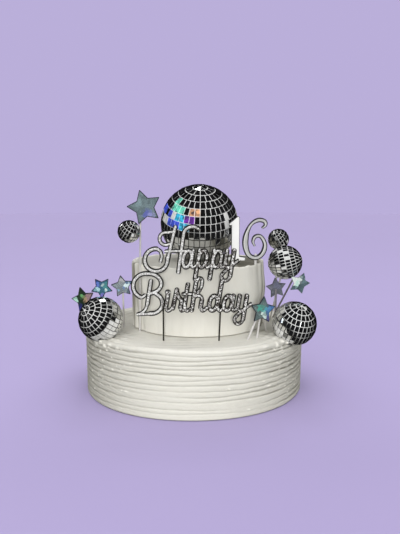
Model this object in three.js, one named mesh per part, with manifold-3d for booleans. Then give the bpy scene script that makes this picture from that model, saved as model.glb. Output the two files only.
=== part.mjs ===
// A two-tier birthday cake in white buttercream, dressed with mirror balls, foil stars on
// sticks, a cut-out script greeting and the number candles 1 and 6.
// Millimetres, +Z up. The origin is the middle of the lower tier's base; -Y is the front.

import * as THREE from 'three';
import { mergeVertices } from 'three/addons/utils/BufferGeometryUtils.js';
import Module from 'manifold-3d';

const wasm = await Module();
wasm.setup();

// ---------------------------------------------------------------- driving dimensions

const GAP = 0.3;                 // free space between pieces that touch

const LOWER = {
  radius: 131,
  height: 75,
  segments: 40,
  grooveDepth: 1.3,
  // heights of the comb's grooves, as uneven as a hand-held comb leaves them
  grooves: [5.8, 10.9, 19.5, 24.8, 30.3, 36, 41.9, 47.5, 53.1, 57.6, 63, 68],
};

// Lumps of cream on the rim: the way each one lies from the middle, in degrees, its height,
// its half length and half height, and how far it stands out.
const LUMPS = [
  { angle: 215.5, height: 70.4, long: 5.4, high: 3.4, proud: 1.9 },
  { angle: 220.5, height: 71.6, long: 4.6, high: 2.8, proud: 1.6 },
  { angle: 313.5, height: 70.2, long: 2.6, high: 3.6, proud: 1.3 },
  { angle: 318.5, height: 72, long: 3.2, high: 2.6, proud: 1.5 },
  { angle: 325, height: 71, long: 6.4, high: 2.6, proud: 2 },
  { angle: 331.5, height: 73, long: 3.4, high: 2.2, proud: 1.7 },
];

const UPPER = {
  radius: 78.4,
  height: 77,
  segments: 48,
  offset: 4.6,                   // it stands a little right of the lower tier's middle
  lip: 0.8,                      // the spatula leaves a thin raised lip round the top
};
const BELLY = { angle: 0, height: 46, wide: 0.6, high: 18, proud: 2.6 };
const UPPER_FLOOR = LOWER.height + GAP;
const UPPER_TOP = UPPER_FLOOR + UPPER.height;

// Mirror balls: centre, radius, facet rows and columns, and the way the tile poles point.
const BALLS = {
  mirror_ball_top: {
    at: [6.6, 4, UPPER_TOP + 44.8], radius: 47, rows: 16, columns: 28, pole: [0.02, -0.38, 0.92],
  },
  mirror_ball_left: {
    at: [-103.5, -69.5, 94.5], radius: 25, rows: 12, columns: 24, pole: [-0.53, -0.58, 0.62],
  },
  mirror_ball_right: {
    at: [112.7, -64.9, 88], radius: 25, rows: 12, columns: 24, pole: [0.34, -0.83, 0.45],
  },
  mirror_ball_right_middle: {
    at: [106.1, -32, 153.2], radius: 20, rows: 10, columns: 20, pole: [0.8, -0.57, 0.17],
  },
  mirror_ball_right_small: {
    at: [103.6, 8, 177], radius: 13, rows: 8, columns: 14, pole: [-0.5, -0.4, 0.77],
  },
  mirror_ball_left_small: {
    at: [-73, -50, 190.4], radius: 13, rows: 8, columns: 14, pole: [0.5, -0.4, 0.77],
  },
};

// Five-pointed stars: centre, outer radius, turn in their own plane and turn to the side,
// in degrees. A folded star is creased along a line through its middle.
const STAR = { thickness: 2.2, inner: 0.54 };
const STARS = {
  star_left_tall: { at: [-55.3, -50, 217.6], radius: 20.4, spin: 16, yaw: 0 },
  star_left_edge: { at: [-128.3, -38, 110.7], radius: 15.6, spin: 16, yaw: -16 },
  star_left_middle: { at: [-106.4, -40, 124.8], radius: 13.2, spin: 36, yaw: 6 },
  star_left_inner: { at: [-84.5, -26, 124.2], radius: 13.8, spin: 9, yaw: 6 },
  star_right_back: { at: [94.3, -45, 125], radius: 12.4, spin: 7, yaw: 8 },
  star_right_folded: { at: [120.8, -50, 131], radius: 13, spin: -20, yaw: 0, fold: 26, crease: 60 },
  star_right_front: { at: [74.3, -86, 107.4], radius: 16, spin: -6, yaw: 20 },
};

// Thin plastic sticks: where each one enters the cream, and where its head ends.
const STICK = { radius: 1.05, sides: 6, depth: 18 };
const behind = STAR.thickness / 2 + GAP + STICK.radius;   // stick's middle behind a star's
const STICKS = {
  star_left_tall_stick: { foot: [-62.5, -46], head: [-60.2, -50 + behind, 211] },
  star_left_edge_stick: { foot: [-108, -31], head: [-125.5, -33.2, 110] },
  star_left_middle_stick: { foot: [-103, -37], head: [-106, -40 + behind, 126] },
  star_left_inner_stick: { foot: [-83.2, -24.8], head: [-84.2, -26 + behind, 124] },
  star_right_back_stick: { foot: [93.9, -47], head: [93.8, -45 - behind, 124.5] },
  star_right_folded_stick: { foot: [100.9, 28.3], head: [112.7, -50 + behind, 135] },
  star_right_front_stick: { foot: [69.1, -79.3], head: [73, -82.5, 105] },
  star_right_front_stick_left: { foot: [58.4, -86.7], head: [69, -84.4, 100] },
  star_right_front_stick_right: { foot: [83, -44.8], head: [77.6, -81, 99] },
  ball_right_middle_stick: { foot: [95.6, 16.4], head: [104.4, -26.4, 144.7] },
  ball_right_small_stick: { foot: [105.6, 48.9], head: [103.8, 11.2, 171] },
};

// The greeting is cut from one flat sheet and stands upright in front of the upper tier.
const GREETING = {
  thickness: 3,
  back: -92,                     // Y of the sheet's back face
  right: 0.8,                    // how far its own origin stands right of the cake's middle
  baseline: 106.2,               // height of the lower word's baseline
  lineSpacing: 46.7,
  stroke: 5.2,
  hairline: 4.2,
  slant: 0.16,
  pickRadius: 0.9,
};
const PICKS = {
  greeting_pick_left: { foot: [-33, -90.8], head: [-33, -90.8, 114] },
  greeting_pick_right: { foot: [27, -90.8], head: [28.6, -90.8, 115] },
};

// Number candles: flat-backed figures on short picks near the right front of the top.
const CANDLE = { front: -40, thickness: 6.5, floor: UPPER_TOP + 4 };
const CANDLE_PICK = { radius: 1.6, depth: 20, socket: 8 };
const ONE = {
  middle: 47.6, stem: 9.4, height: 50.5, flagReach: 3, flagDrop: 8.6, foot: 23, footHeight: 3.6,
};
const SIX = { middle: 70.4, pickOffset: 0.6 };

// ---------------------------------------------------------------- materials

const finish = (color, roughness, metalness) =>
  new THREE.MeshStandardMaterial({ color, roughness, metalness });
const buttercream = finish(0xe6e2d3, 0.62, 0);
const mirrorTile = finish(0xd9dcdf, 0.06, 1);
const mirrorSheet = finish(0xc9cbca, 0.16, 1);
const holographicFoil = finish(0x8fa3ad, 0.22, 0.8);
const silverWax = finish(0xd4d5d3, 0.25, 0.6);
const whitePlastic = finish(0xdcdad6, 0.35, 0);
const darkPick = finish(0x2c2a26, 0.3, 0.2);

// ---------------------------------------------------------------- solids and meshes

const vector = ([x, y, z]) => new THREE.Vector3(x, y, z);

// The solid that a closed geometry bounds, for joining and cutting.
function solid(geometry) {
  const bare = new THREE.BufferGeometry();
  bare.setAttribute('position', geometry.attributes.position);
  bare.setIndex(geometry.index);
  const merged = mergeVertices(bare);
  const corners = merged.index.array;
  const triangles = [];
  for (let i = 0; i < corners.length; i += 3) {
    const [a, b, c] = [corners[i], corners[i + 1], corners[i + 2]];
    if (a !== b && b !== c && c !== a) triangles.push(a, b, c);
  }
  return new wasm.Manifold(new wasm.Mesh({
    numProp: 3,
    vertProperties: new Float32Array(merged.attributes.position.array),
    triVerts: new Uint32Array(triangles),
  }));
}

// The geometry that a solid's surface makes.
function surface(body) {
  const { vertProperties, triVerts } = body.getMesh();
  const geometry = new THREE.BufferGeometry();
  geometry.setAttribute('position', new THREE.BufferAttribute(vertProperties, 3));
  geometry.setIndex(new THREE.BufferAttribute(triVerts, 1));
  geometry.computeVertexNormals();
  return geometry;
}

const cut = (body, tools) => tools.reduce((left, tool) => left.subtract(tool), body);
const join = (bodies) => bodies.reduce((all, body) => all.add(body));

// The largest body alone: a pocket that joining seals is filled, a loose scrap is dropped.
const whole = (body) =>
  body.decompose().reduce((best, piece) => (piece.volume() > best.volume() ? piece : best));

function named(name, geometry, material) {
  const mesh = new THREE.Mesh(geometry, material);
  mesh.name = name;
  return mesh;
}

// A round body turned about +Z from [radius, height] pairs, from its base to its top.
function turned(profile, segments) {
  const lathe = new THREE.LatheGeometry(profile.map((p) => new THREE.Vector2(...p)), segments);
  return lathe.rotateX(Math.PI / 2);
}

// Moves each point of a turned body: shift gives [outwards, upwards] from angle, radius
// and height. Both fade out at the axis, where all angles meet.
function reshape(geometry, fullRadius, shift) {
  const { position } = geometry.attributes;
  for (let i = 0; i < position.count; i += 1) {
    const [x, y, z] = [position.getX(i), position.getY(i), position.getZ(i)];
    const radius = Math.hypot(x, y);
    const share = Math.min(1, radius / fullRadius);
    const [out, up] = shift(Math.atan2(y, x), radius, z);
    const grown = 1 + (out * share) / Math.max(radius, 1);
    position.setXYZ(i, x * grown, y * grown, z + up * share);
  }
  return geometry;
}

// ---------------------------------------------------------------- sticks and their holes

const AXIS_Y = new THREE.Vector3(0, 1, 0);

// A cylinder from one point to another.
function rod(from, to, radius, sides) {
  const along = to.clone().sub(from);
  const geometry = new THREE.CylinderGeometry(radius, radius, along.length(), sides);
  geometry.applyQuaternion(new THREE.Quaternion().setFromUnitVectors(AXIS_Y, along.normalize()));
  return geometry.translate(...from.clone().add(to).multiplyScalar(0.5).toArray());
}

// The deep end of a stick whose foot enters a surface at the given height.
function sunkEnd({ foot, head }, floor, depth) {
  const entry = vector([...foot, floor]);
  const down = entry.clone().sub(vector(head)).normalize();
  return entry.addScaledVector(down, depth);
}

function stickGeometry(stick, radius, floor, depth) {
  return rod(sunkEnd(stick, floor, depth), vector(stick.head), radius, STICK.sides);
}

// The hole that a stick needs in what it is pushed into, open past its head.
function stickHole(stick, radius, floor, depth) {
  const deep = sunkEnd(stick, floor, depth + GAP);
  const wide = radius + GAP / Math.cos(Math.PI / STICK.sides);
  return solid(rod(deep, vector(stick.head), wide, STICK.sides));
}

// ---------------------------------------------------------------- mirror balls

function ballGeometry({ radius, rows, columns, pole }) {
  const sphere = new THREE.SphereGeometry(radius, columns, rows);
  const turn = new THREE.Quaternion().setFromUnitVectors(AXIS_Y, vector(pole).normalize());
  return sphere.applyQuaternion(turn);
}

// The dent that a ball leaves in the cream.
function ballDent(ball) {
  const dent = ballGeometry({ ...ball, radius: ball.radius + GAP * 1.6 });
  return solid(dent.translate(...ball.at));
}

// The small left ball is glued against the tall star's stick, which lies in a groove of it.
function mirrorBalls() {
  const channels = {
    mirror_ball_left_small: STICKS.star_left_tall_stick,
    mirror_ball_right_small: STICKS.ball_right_small_stick,
    mirror_ball_right_middle: STICKS.ball_right_middle_stick,
  };
  return Object.entries(BALLS).map(([name, ball]) => {
    let geometry = ballGeometry(ball);
    const stick = channels[name];
    if (stick) {
      const channel = stickHole(stick, STICK.radius, LOWER.height, 0);
      geometry = surface(solid(geometry.translate(...ball.at)).subtract(channel));
      geometry.translate(...ball.at.map((value) => -value));
    }
    const mesh = named(name, geometry, mirrorTile);
    mesh.position.set(...ball.at);
    return mesh;
  });
}

// ---------------------------------------------------------------- tiers

// The comb's ridges: a narrow groove at each height, a rounded band between two of them.
function combedProfile({ radius, height, grooves, grooveDepth }) {
  const profile = [[0, 0], [radius - 1.2, 0], [radius - 0.1, 1]];
  grooves.forEach((groove, i) => {
    const band = (grooves[i + 1] ?? height - 3) - groove;
    profile.push([radius - grooveDepth, groove]);
    profile.push([radius, groove + band * 0.3], [radius, groove + band * 0.72]);
  });
  const brim = [[1.2, 2], [3.4, 0.5], [5.6, 0.9], [8, 0], [60, 0.2], [radius, 0]];
  return profile.concat(brim.map(([inwards, down]) => [radius - inwards, height - down]));
}

// Slow swells in the radius, and ridges that rise and fall a little round the side.
function lowerShift(angle, radius, z) {
  const swell = 0.6 * Math.sin(2 * angle - 0.4) + 0.4 * Math.sin(5 * angle + z / 40);
  const side = Math.min(1, z / 12, Math.max(0, (LOWER.height - 5 - z) / 12));
  const wave = 0.9 * Math.sin(3 * angle + z / 18) + 0.6 * Math.sin(7 * angle - z / 11);
  const taper = (0.5 * (z - LOWER.height / 2)) / LOWER.height;
  return radius > LOWER.radius - 12 ? [swell + taper, side * wave] : [0, 0];
}

// Cream squeezed out over the rim where the two large side balls were pressed in.
function creamLumps() {
  return LUMPS.map(({ angle, height, long, high, proud }) => {
    const lump = new THREE.IcosahedronGeometry(1, 1).scale(proud * 2, long, high);
    lump.translate(LOWER.radius - proud, 0, height);
    return solid(lump.rotateZ(THREE.MathUtils.degToRad(angle)));
  });
}

function lowerTier() {
  const { radius, segments } = LOWER;
  const side = reshape(turned(combedProfile(LOWER), segments), radius, lowerShift);
  const creamed = join([solid(side), ...creamLumps()]);
  const holes = [
    ...Object.values(STICKS).map((s) => stickHole(s, STICK.radius, LOWER.height, STICK.depth)),
    ...Object.values(PICKS).map((p) =>
      stickHole(p, GREETING.pickRadius, LOWER.height, STICK.depth)),
  ];
  const dents = [BALLS.mirror_ball_left, BALLS.mirror_ball_right].map(ballDent);
  const body = whole(cut(creamed, [...dents, ...holes]));
  return named('lower_tier', surface(body), buttercream);
}

// Smooth sides that belly out a little, and the thin lip round the top.
function upperProfile({ radius, height, lip }) {
  return [
    [0, 0], [radius - 1, 0], [radius + 0.3, 1.5], [radius - 0.2, 9],
    [radius + 0.5, 30], [radius + 0.4, 52], [radius - 0.3, height - 4],
    [radius - 0.2, height], [radius - 1.1, height + lip], [radius - 2.2, height],
    [radius * 0.55, height - 0.2], [0, height],
  ];
}

// Slow swells, and a fuller patch of cream low on the right-hand side.
function upperShift(angle, radius, z) {
  const swell = 0.5 * Math.sin(2 * angle + 1.1) + 0.35 * Math.sin(3 * angle - z / 25);
  const { angle: middle, height, wide, high, proud } = BELLY;
  const across = (angle - middle) / wide;
  const bulge = proud * Math.exp(-(across ** 2) - ((z - height) / high) ** 2);
  const rim = z > UPPER.height ? 0.4 * Math.sin(9 * angle) : 0;
  return radius > UPPER.radius - 8 ? [swell + bulge, rim] : [0, 0];
}

function candlePick(middle) {
  const y = CANDLE.front + CANDLE.thickness / 2;
  return { foot: [middle, y], head: [middle, y, CANDLE.floor + CANDLE_PICK.socket] };
}
const CANDLE_PICKS = {
  candle_one_pick: candlePick(ONE.middle),
  candle_six_pick: candlePick(SIX.middle + SIX.pickOffset),
};
const pickHole = (pick) =>
  stickHole(pick, CANDLE_PICK.radius, UPPER_TOP, CANDLE_PICK.depth);

function upperTier() {
  const side = reshape(turned(upperProfile(UPPER), UPPER.segments), UPPER.radius, upperShift);
  side.translate(UPPER.offset, 0, UPPER_FLOOR);
  const tools = [ballDent(BALLS.mirror_ball_top), ...Object.values(CANDLE_PICKS).map(pickHole)];
  return named('upper_tier', surface(cut(solid(side), tools)), buttercream);
}

// ---------------------------------------------------------------- stars

function starShape({ radius, spin }) {
  const shape = new THREE.Shape();
  for (let i = 0; i < 10; i += 1) {
    const angle = THREE.MathUtils.degToRad(90 + spin + i * 36);
    const reach = i % 2 ? radius * STAR.inner : radius;
    const point = [reach * Math.cos(angle), reach * Math.sin(angle)];
    if (i) shape.lineTo(...point);
    else shape.moveTo(...point);
  }
  return shape;
}

// Bends one half of a flat star about its crease, away from the viewer.
function foldedStar(plate, { crease, fold, radius }) {
  const size = radius * 4;
  const half = (side) => {
    const box = new THREE.BoxGeometry(size, size, size).translate(0, (side * size) / 2, 0);
    return solid(box.rotateZ(THREE.MathUtils.degToRad(crease)));
  };
  const line = new THREE.Vector3(1, 0, 0)
    .applyAxisAngle(new THREE.Vector3(0, 0, 1), THREE.MathUtils.degToRad(crease));
  const bend = new THREE.Quaternion().setFromAxisAngle(line, THREE.MathUtils.degToRad(fold));
  const flat = solid(plate);
  const bent = surface(flat.intersect(half(-1))).applyQuaternion(bend);
  return surface(flat.intersect(half(1)).add(solid(bent)));
}

function stars() {
  return Object.entries(STARS).map(([name, star]) => {
    const settings = { depth: STAR.thickness, bevelEnabled: false };
    let plate = new THREE.ExtrudeGeometry(starShape(star), settings);
    plate.translate(0, 0, -STAR.thickness / 2);
    if (star.fold) plate = foldedStar(plate, star);
    const mesh = named(name, plate.rotateX(Math.PI / 2), holographicFoil);
    mesh.rotation.z = THREE.MathUtils.degToRad(star.yaw);
    mesh.position.set(...star.at);
    return mesh;
  });
}

function sticks() {
  const plastic = Object.entries(STICKS).map(([name, stick]) =>
    named(name, stickGeometry(stick, STICK.radius, LOWER.height, STICK.depth), whitePlastic));
  const picks = Object.entries(PICKS).map(([name, pick]) => {
    const geometry = stickGeometry(pick, GREETING.pickRadius, LOWER.height, STICK.depth);
    return named(name, geometry, darkPick);
  });
  return [...plastic, ...picks];
}

// ---------------------------------------------------------------- strokes and letters

const curve = {
  line: (x0, y0, x1, y1) =>
    ({ path: new THREE.LineCurve(new THREE.Vector2(x0, y0), new THREE.Vector2(x1, y1)), steps: 1 }),
  // part of an ellipse, angles in degrees, clockwise when the second is the smaller
  arc: (x, y, rx, ry, from, to) => ({
    path: new THREE.EllipseCurve(
      x, y, rx, ry, THREE.MathUtils.degToRad(from), THREE.MathUtils.degToRad(to), to < from),
    steps: Math.max(3, Math.round(Math.abs(to - from) / (rx + ry > 16 ? 28 : 38))),
  }),
  spline: (points, steps) =>
    ({ path: new THREE.SplineCurve(points.map((p) => new THREE.Vector2(...p))), steps }),
};

// The outline of a stroke of the given width along a curve, with blunt ends. The width may
// be a function of the place along it, from 0 to 1.
function strokeShape({ path, steps }, width, slant = 0) {
  const widthAt = typeof width === 'function' ? width : () => width;
  const side = (u, turn) => {
    const normal = path.getTangent(u).rotateAround(new THREE.Vector2(), turn);
    return path.getPoint(u).addScaledVector(normal, widthAt(u) / 2);
  };
  const along = Array.from({ length: steps + 1 }, (_, i) => i / steps);
  const outline = [
    ...along.map((u) => side(u, Math.PI / 2)),
    side(1, Math.PI / 4), side(1, -Math.PI / 4),
    ...along.toReversed().map((u) => side(u, -Math.PI / 2)),
    side(0, (-3 * Math.PI) / 4), side(0, (3 * Math.PI) / 4),
  ];
  return new THREE.Shape(outline.map(({ x, y }) => new THREE.Vector2(x + slant * y, y)));
}

// Letters in millimetres on their baseline, each a list of [curve, width]. x is the middle
// of the letter's first stroke or bowl, h the height of a small letter.
const { stroke: WIDE, hairline: FINE } = GREETING;
const stem = (x, top, bottom, width = WIDE) => [curve.line(x, top, x, bottom), width];
const exitHook = (x, reach) =>
  [curve.spline([[x, 6.4], [x + reach * 0.4, 2.2], [x + reach, 5.2]], 3), FINE];
const bowl = (x, h) => [
  [curve.arc(x, h / 2, 4.3, h / 2 - WIDE / 2, 80, 280), WIDE],
  [curve.arc(x, h / 2, 4.3, h / 2 - WIDE / 2, -100, 100), WIDE],
];
const tailLoop = (x, y) => [
  [curve.arc(x - 4.4, y, 4.4, 5, 0, -200), FINE],
  [curve.spline([[x - 8.6, y + 1.6], [x - 3.6, y + 8], [x + 6, y + 16.4]], 3), FINE],
];

const SMALL_LETTERS = {
  a: (x, h) => [...bowl(x, h), stem(x + 5, h - 2.6, 6), exitHook(x + 5, 6.4)],
  d: (x, h) => [...bowl(x, h), stem(x + 5.2, h + 15.6, 6), exitHook(x + 5.2, 6.4)],
  p: (x, h) => [stem(x, h - 2.6, -9.8), ...bowl(x + 4.7, h), exitHook(x + 8.2, 6.4)],
  y: (x, h) => [
    stem(x, h - 2.6, 7), [curve.arc(x + 3.8, 6.6, 3.8, 4.2, 180, 360), FINE],
    stem(x + 7.6, h - 2.6, -7), ...tailLoop(x + 7.4, -7),
  ],
  i: (x, h) => [
    stem(x, h - 1, 6), [curve.line(x - 0.8, h + 1.6, x - 0.4, h + 1.6), WIDE + 0.6],
    exitHook(x, 7),
  ],
  r: (x, h) => [
    [curve.line(x, 5, x + 1.4, h + 4), WIDE],
    [curve.spline([[x + 1.4, h + 2.6], [x + 4.4, h - 3.6], [x + 8, h - 7.6], [x + 8, 6]], 5), WIDE],
    exitHook(x + 8, 5),
  ],
  t: (x, h) => [
    stem(x, h + 9.6, 6), [curve.line(x - 3.6, h - 0.4, x + 5.2, h - 0.4), FINE],
    exitHook(x, 8),
  ],
  h: (x, h) => [
    stem(x, h + 13.6, 3), [curve.arc(x + 3.4, h + 12, 3.2, 4.6, 170, -10), FINE],
    [curve.spline([[x + 6.6, h + 11.4], [x + 6, h + 6], [x + 1, h - 4]], 3), FINE],
    [curve.arc(x + 4.6, h - 7, 4.6, 4.8, 180, 0), FINE], stem(x + 9.2, h - 7, 6),
    exitHook(x + 9.2, 6.4),
  ],
};

// The two capitals stand upright in their own measures; their stems lean by themselves.
const CAPITALS = {
  H: () => [
    [curve.line(-20.6, 44.4, -29, 9), WIDE],
    [curve.arc(-40.9, 10.1, 12, 12, 8, -272), WIDE],
    [curve.spline([[-40.6, 22.1], [-36.2, 19.4], [-34.9, 14], [-36, 9]], 4), FINE],
    [curve.arc(-30.6, 32.8, 6.4, 6.6, 75, 300), FINE],
    [curve.line(-29.4, 39.3, -22, 40.2), FINE],
    [curve.line(-30.2, 19.4, -8, 20), FINE],
    [curve.line(-11.6, 38, -17.4, -2.2), WIDE],
    [curve.arc(-2.4, 36.8, 9.2, 8.6, 180, 46), WIDE],
  ],
  B: () => [
    [curve.line(-46.6, 34.2, -50.6, 9.8), WIDE],
    [curve.spline([[-50.6, 10.4], [-52.4, 4.6], [-56.4, 0.2], [-60.6, -1.4]], 4), FINE],
    [curve.arc(-51.5, 29.1, 14, 13.4, 80, 242), WIDE],
    [curve.spline([[-58.4, 17.4], [-55.8, 17.2], [-53.6, 18.8]], 3), FINE],
    [curve.arc(-49, 31.8, 13.4, 10.6, 100, -86), WIDE],
    [curve.arc(-46.5, 10.6, 12, 11.3, 62, -96), WIDE],
    [curve.line(-47, -0.7, -60.4, -1.4), FINE],
  ],
};

// Each word: the height of its baseline above the lower word's, the height of its small
// letters, and where each one starts.
const WORDS = [
  {
    baseline: GREETING.lineSpacing, height: 22.6, capital: 'H',
    letters: [['a', -9.8], ['p', 1.9], ['p', 17.4], ['y', 31]],
  },
  {
    baseline: 0, height: 20.8, capital: 'B',
    letters: [['i', -31.8], ['r', -24.4], ['t', -12.2], ['h', -3.9], ['d', 18.2], ['a', 33.6],
      ['y', 45.1]],
  },
];

function greeting() {
  const { thickness, slant, back, right, baseline: lowest } = GREETING;
  const plates = WORDS.flatMap(({ baseline, height, capital, letters }) => {
    const upright = CAPITALS[capital]().map(([line, width]) => strokeShape(line, width));
    const leaning = letters.flatMap(([letter, x]) =>
      SMALL_LETTERS[letter](x, height).map(([line, width]) => strokeShape(line, width, slant)));
    return [...upright, ...leaning].map((shape) => {
      const plate = new THREE.ExtrudeGeometry(shape, { depth: thickness, bevelEnabled: false });
      return solid(plate.translate(0, baseline, 0));
    });
  });
  const mesh = named('greeting', surface(whole(join(plates))), mirrorSheet);
  mesh.rotation.x = Math.PI / 2;
  mesh.position.set(right, back, lowest);
  return mesh;
}

// ---------------------------------------------------------------- number candles

function oneShape() {
  const { stem: width, height, flagReach, flagDrop, foot, footHeight } = ONE;
  const [left, right] = [-width / 2, width / 2];
  const shape = new THREE.Shape();
  shape.moveTo(-foot / 2, 0);
  shape.lineTo(foot / 2, 0);
  shape.lineTo(foot / 2, footHeight);
  shape.lineTo(right, footHeight + 1);
  shape.lineTo(right, height - 2);
  shape.quadraticCurveTo(right, height, right - 2.5, height);
  shape.lineTo(left - flagReach, height - flagDrop);
  shape.lineTo(left - flagReach + 0.6, height - flagDrop - 2);
  shape.lineTo(left, height - flagDrop - 1.6);
  shape.lineTo(left, footHeight + 1);
  shape.lineTo(-foot / 2, footHeight);
  return shape;
}

// The six is one stroke that starts in a curl at the top right, sweeps down the left and
// round the bowl, and ends in a curl inside it. Each entry is [x, y, stroke width].
const SIX_STROKE = [
  [8.4, 37.6, 2.4], [11.6, 40.6, 5], [10.3, 44.9, 5], [3.4, 46.2, 3.9], [-4.6, 41.6, 5],
  [-10, 30.5, 6.7], [-11.2, 17.5, 6.9], [-7.2, 6, 6.2], [1.5, 2.9, 5.4], [9, 8.4, 5.4],
  [11.3, 18.5, 5.4], [6.4, 27.4, 4.6], [0, 27.2, 4.3], [-2.6, 21.6, 4], [-0.8, 17.2, 2.2],
];

function sixShape() {
  const knots = SIX_STROKE.length - 1;
  const width = (u) => {
    const i = Math.min(knots - 1, Math.floor(u * knots));
    const [near, far] = [SIX_STROKE[i][2], SIX_STROKE[i + 1][2]];
    return THREE.MathUtils.lerp(near, far, u * knots - i);
  };
  return strokeShape(curve.spline(SIX_STROKE.map(([x, y]) => [x, y]), knots * 3), width);
}

function candle(name, shape, middle, pick) {
  const { thickness, front, floor } = CANDLE;
  const figure = new THREE.ExtrudeGeometry(shape, { depth: thickness, bevelEnabled: false });
  figure.rotateX(Math.PI / 2).translate(middle, front + thickness, floor);
  const body = solid(figure).subtract(pickHole(pick));
  return named(name, surface(body), silverWax);
}

function candles() {
  const { candle_one_pick: onePick, candle_six_pick: sixPick } = CANDLE_PICKS;
  const picks = Object.entries(CANDLE_PICKS).map(([name, pick]) =>
    named(
      name,
      stickGeometry(pick, CANDLE_PICK.radius, UPPER_TOP, CANDLE_PICK.depth).translate(0, 0, -GAP),
      whitePlastic));
  return [
    candle('candle_one', oneShape(), ONE.middle, onePick),
    candle('candle_six', sixShape(), SIX.middle, sixPick),
    ...picks,
  ];
}

// ---------------------------------------------------------------- the cake

const cake = new THREE.Group();
cake.add(lowerTier(), upperTier());

const toppers = new THREE.Group();
toppers.add(...mirrorBalls(), ...stars(), ...sticks(), greeting(), ...candles());
cake.add(toppers);

export default cake;
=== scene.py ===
"""Looks of a two-tier birthday cake: combed and smoothed buttercream, mirror balls, foil stars,
a glitter greeting on picks and two number candles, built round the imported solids."""

import math
import random
from contextlib import contextmanager
from types import SimpleNamespace

import bmesh
import bpy
import numpy as np
from mathutils import Matrix, Vector


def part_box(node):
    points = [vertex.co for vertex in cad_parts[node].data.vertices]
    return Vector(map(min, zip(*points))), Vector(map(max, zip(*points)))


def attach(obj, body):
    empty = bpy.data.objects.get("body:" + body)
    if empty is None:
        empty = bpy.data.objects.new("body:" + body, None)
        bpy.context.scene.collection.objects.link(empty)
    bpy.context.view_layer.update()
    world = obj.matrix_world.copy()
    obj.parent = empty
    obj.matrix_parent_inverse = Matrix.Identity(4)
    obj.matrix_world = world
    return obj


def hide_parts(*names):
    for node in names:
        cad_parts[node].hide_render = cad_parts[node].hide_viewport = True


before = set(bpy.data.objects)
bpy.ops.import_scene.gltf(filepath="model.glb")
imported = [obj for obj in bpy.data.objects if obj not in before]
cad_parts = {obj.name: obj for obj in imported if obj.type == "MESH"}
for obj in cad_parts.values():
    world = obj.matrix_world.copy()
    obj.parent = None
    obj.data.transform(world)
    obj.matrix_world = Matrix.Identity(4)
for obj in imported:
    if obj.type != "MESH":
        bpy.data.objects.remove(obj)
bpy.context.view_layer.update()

bl_info = {
    "name": "Birthday Cake",
    "version": (1, 0, 0),
    "blender": (4, 5, 0),
    "location": "View3D > Sidebar > Cake",
    "description": "Models and finishes a two-tier birthday cake with its toppers",
    "category": "Add Mesh",
}

MM = 0.001
TAU = 2 * math.pi

# ------------------------------------------------------------------ sizes in millimetres

# A tier's outline: the foot, how far in from the side and up from the floor; the straight side,
# how far above the floor it starts and below the top it ends; the brim, how far in and down.
LOWER = SimpleNamespace(
    radius=131, floor=0, top=75, steps=624, rings=0.62, side=(1.8, 3),
    foot=[(1.6, 0), (0.6, 0.35), (0.15, 1)],
    brim=[(0.4, 2.1), (1.1, 1), (2, 0.35), (3, 0.15), (3.8, 0.5), (4.5, 1), (5.2, 0.95),
          (5.9, 0.3), (6.8, 0), (7.8, 0.25), (8.6, 0.6), (9.5, 0.45), (10.4, 0.1), (11.3, 0.05),
          (13, 0.3), (15, 0.1), (17, 0.05), (19.5, 0.25), (22, 0.1), (25, 0.1), (28, 0.05),
          (31, 0.1), (35, 0.1), (40, 0.1), (60, 0.1)],
    grooves=[5.8, 10.9, 19.5, 24.8, 30.3, 36, 41.9, 47.5, 53.1, 57.6, 63, 68],
    # the part of the mesh columns drawn to the front, and where the open ring on top starts
    front_share=0.4, ledge=84,
    # how oval, wavy and wider at the top the side is, and the ripples on the top and its rim
    oval=0.6, wavy=0.4, lean=0.5, top_ripple=0.6, rim_ripple=0.35, ripple_pitch=0.62,
    pushed_up=0.35)
UPPER = SimpleNamespace(
    radius=78.4, floor=75.3, top=152.3, steps=320, rings=1.3, side=(2, 1.5), offset=4.6,
    foot=[(1, 0), (-0.2, 0.9)],
    brim=[(0.1, 0.6), (0.25, -0.24), (0.7, -0.68), (1.2, -0.8), (1.8, -0.56), (2.5, 0),
          (3.4, 0.2), (6, 0.1), (10, 0.2), (16, 0.1), (24, 0.2), (34, 0.2)],
    oval=0.5, wavy=0.35, dents=0.16, wrinkles=1.9, beads=0.7, droop=2.6, top_ripple=0.3)
# the bulge on the upper tier's right: angle, height, half width, half height, and relief
BELLY = SimpleNamespace(place=(0, 46, 0.6, 18), proud=2.6)
# where the spatula left upright wrinkles on the upper tier: angle and half width
WRINKLES = [(math.radians(200), 0.24), (math.radians(348), 0.3)]
# A groove's slow drift, waver and fraying up and down; its force, which is uneven, greater on
# the sides and less low down; and how much softer its upper flank is.
GROOVE = SimpleNamespace(
    drift=1.1, waver=0.35, fray=0.12, side_fray=0.3, force=0.65, unevenness=0.55,
    side_force=0.55, weakest=0.1, strongest=1.5, low_fade=0.45, fade_height=50,
    right_gain=0.6, upper_flank=1.5)
# The comb's cut at the front and what the sides add, the wide trough round each groove, the
# cream that stands up between grooves, the short ribs on the torn sides, how much more painted
# shade the grooves get there and how narrow these sides are.
COMB = SimpleNamespace(
    front_depth=0.75, side_depth=0.5, trough_width=2.6, trough_depth=0.25, stands_up=0.2,
    rib_height=0.5, rib_pitch=1.9, rib_drift=4, side_crease_shade=0.9, side_power=2.5)
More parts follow.
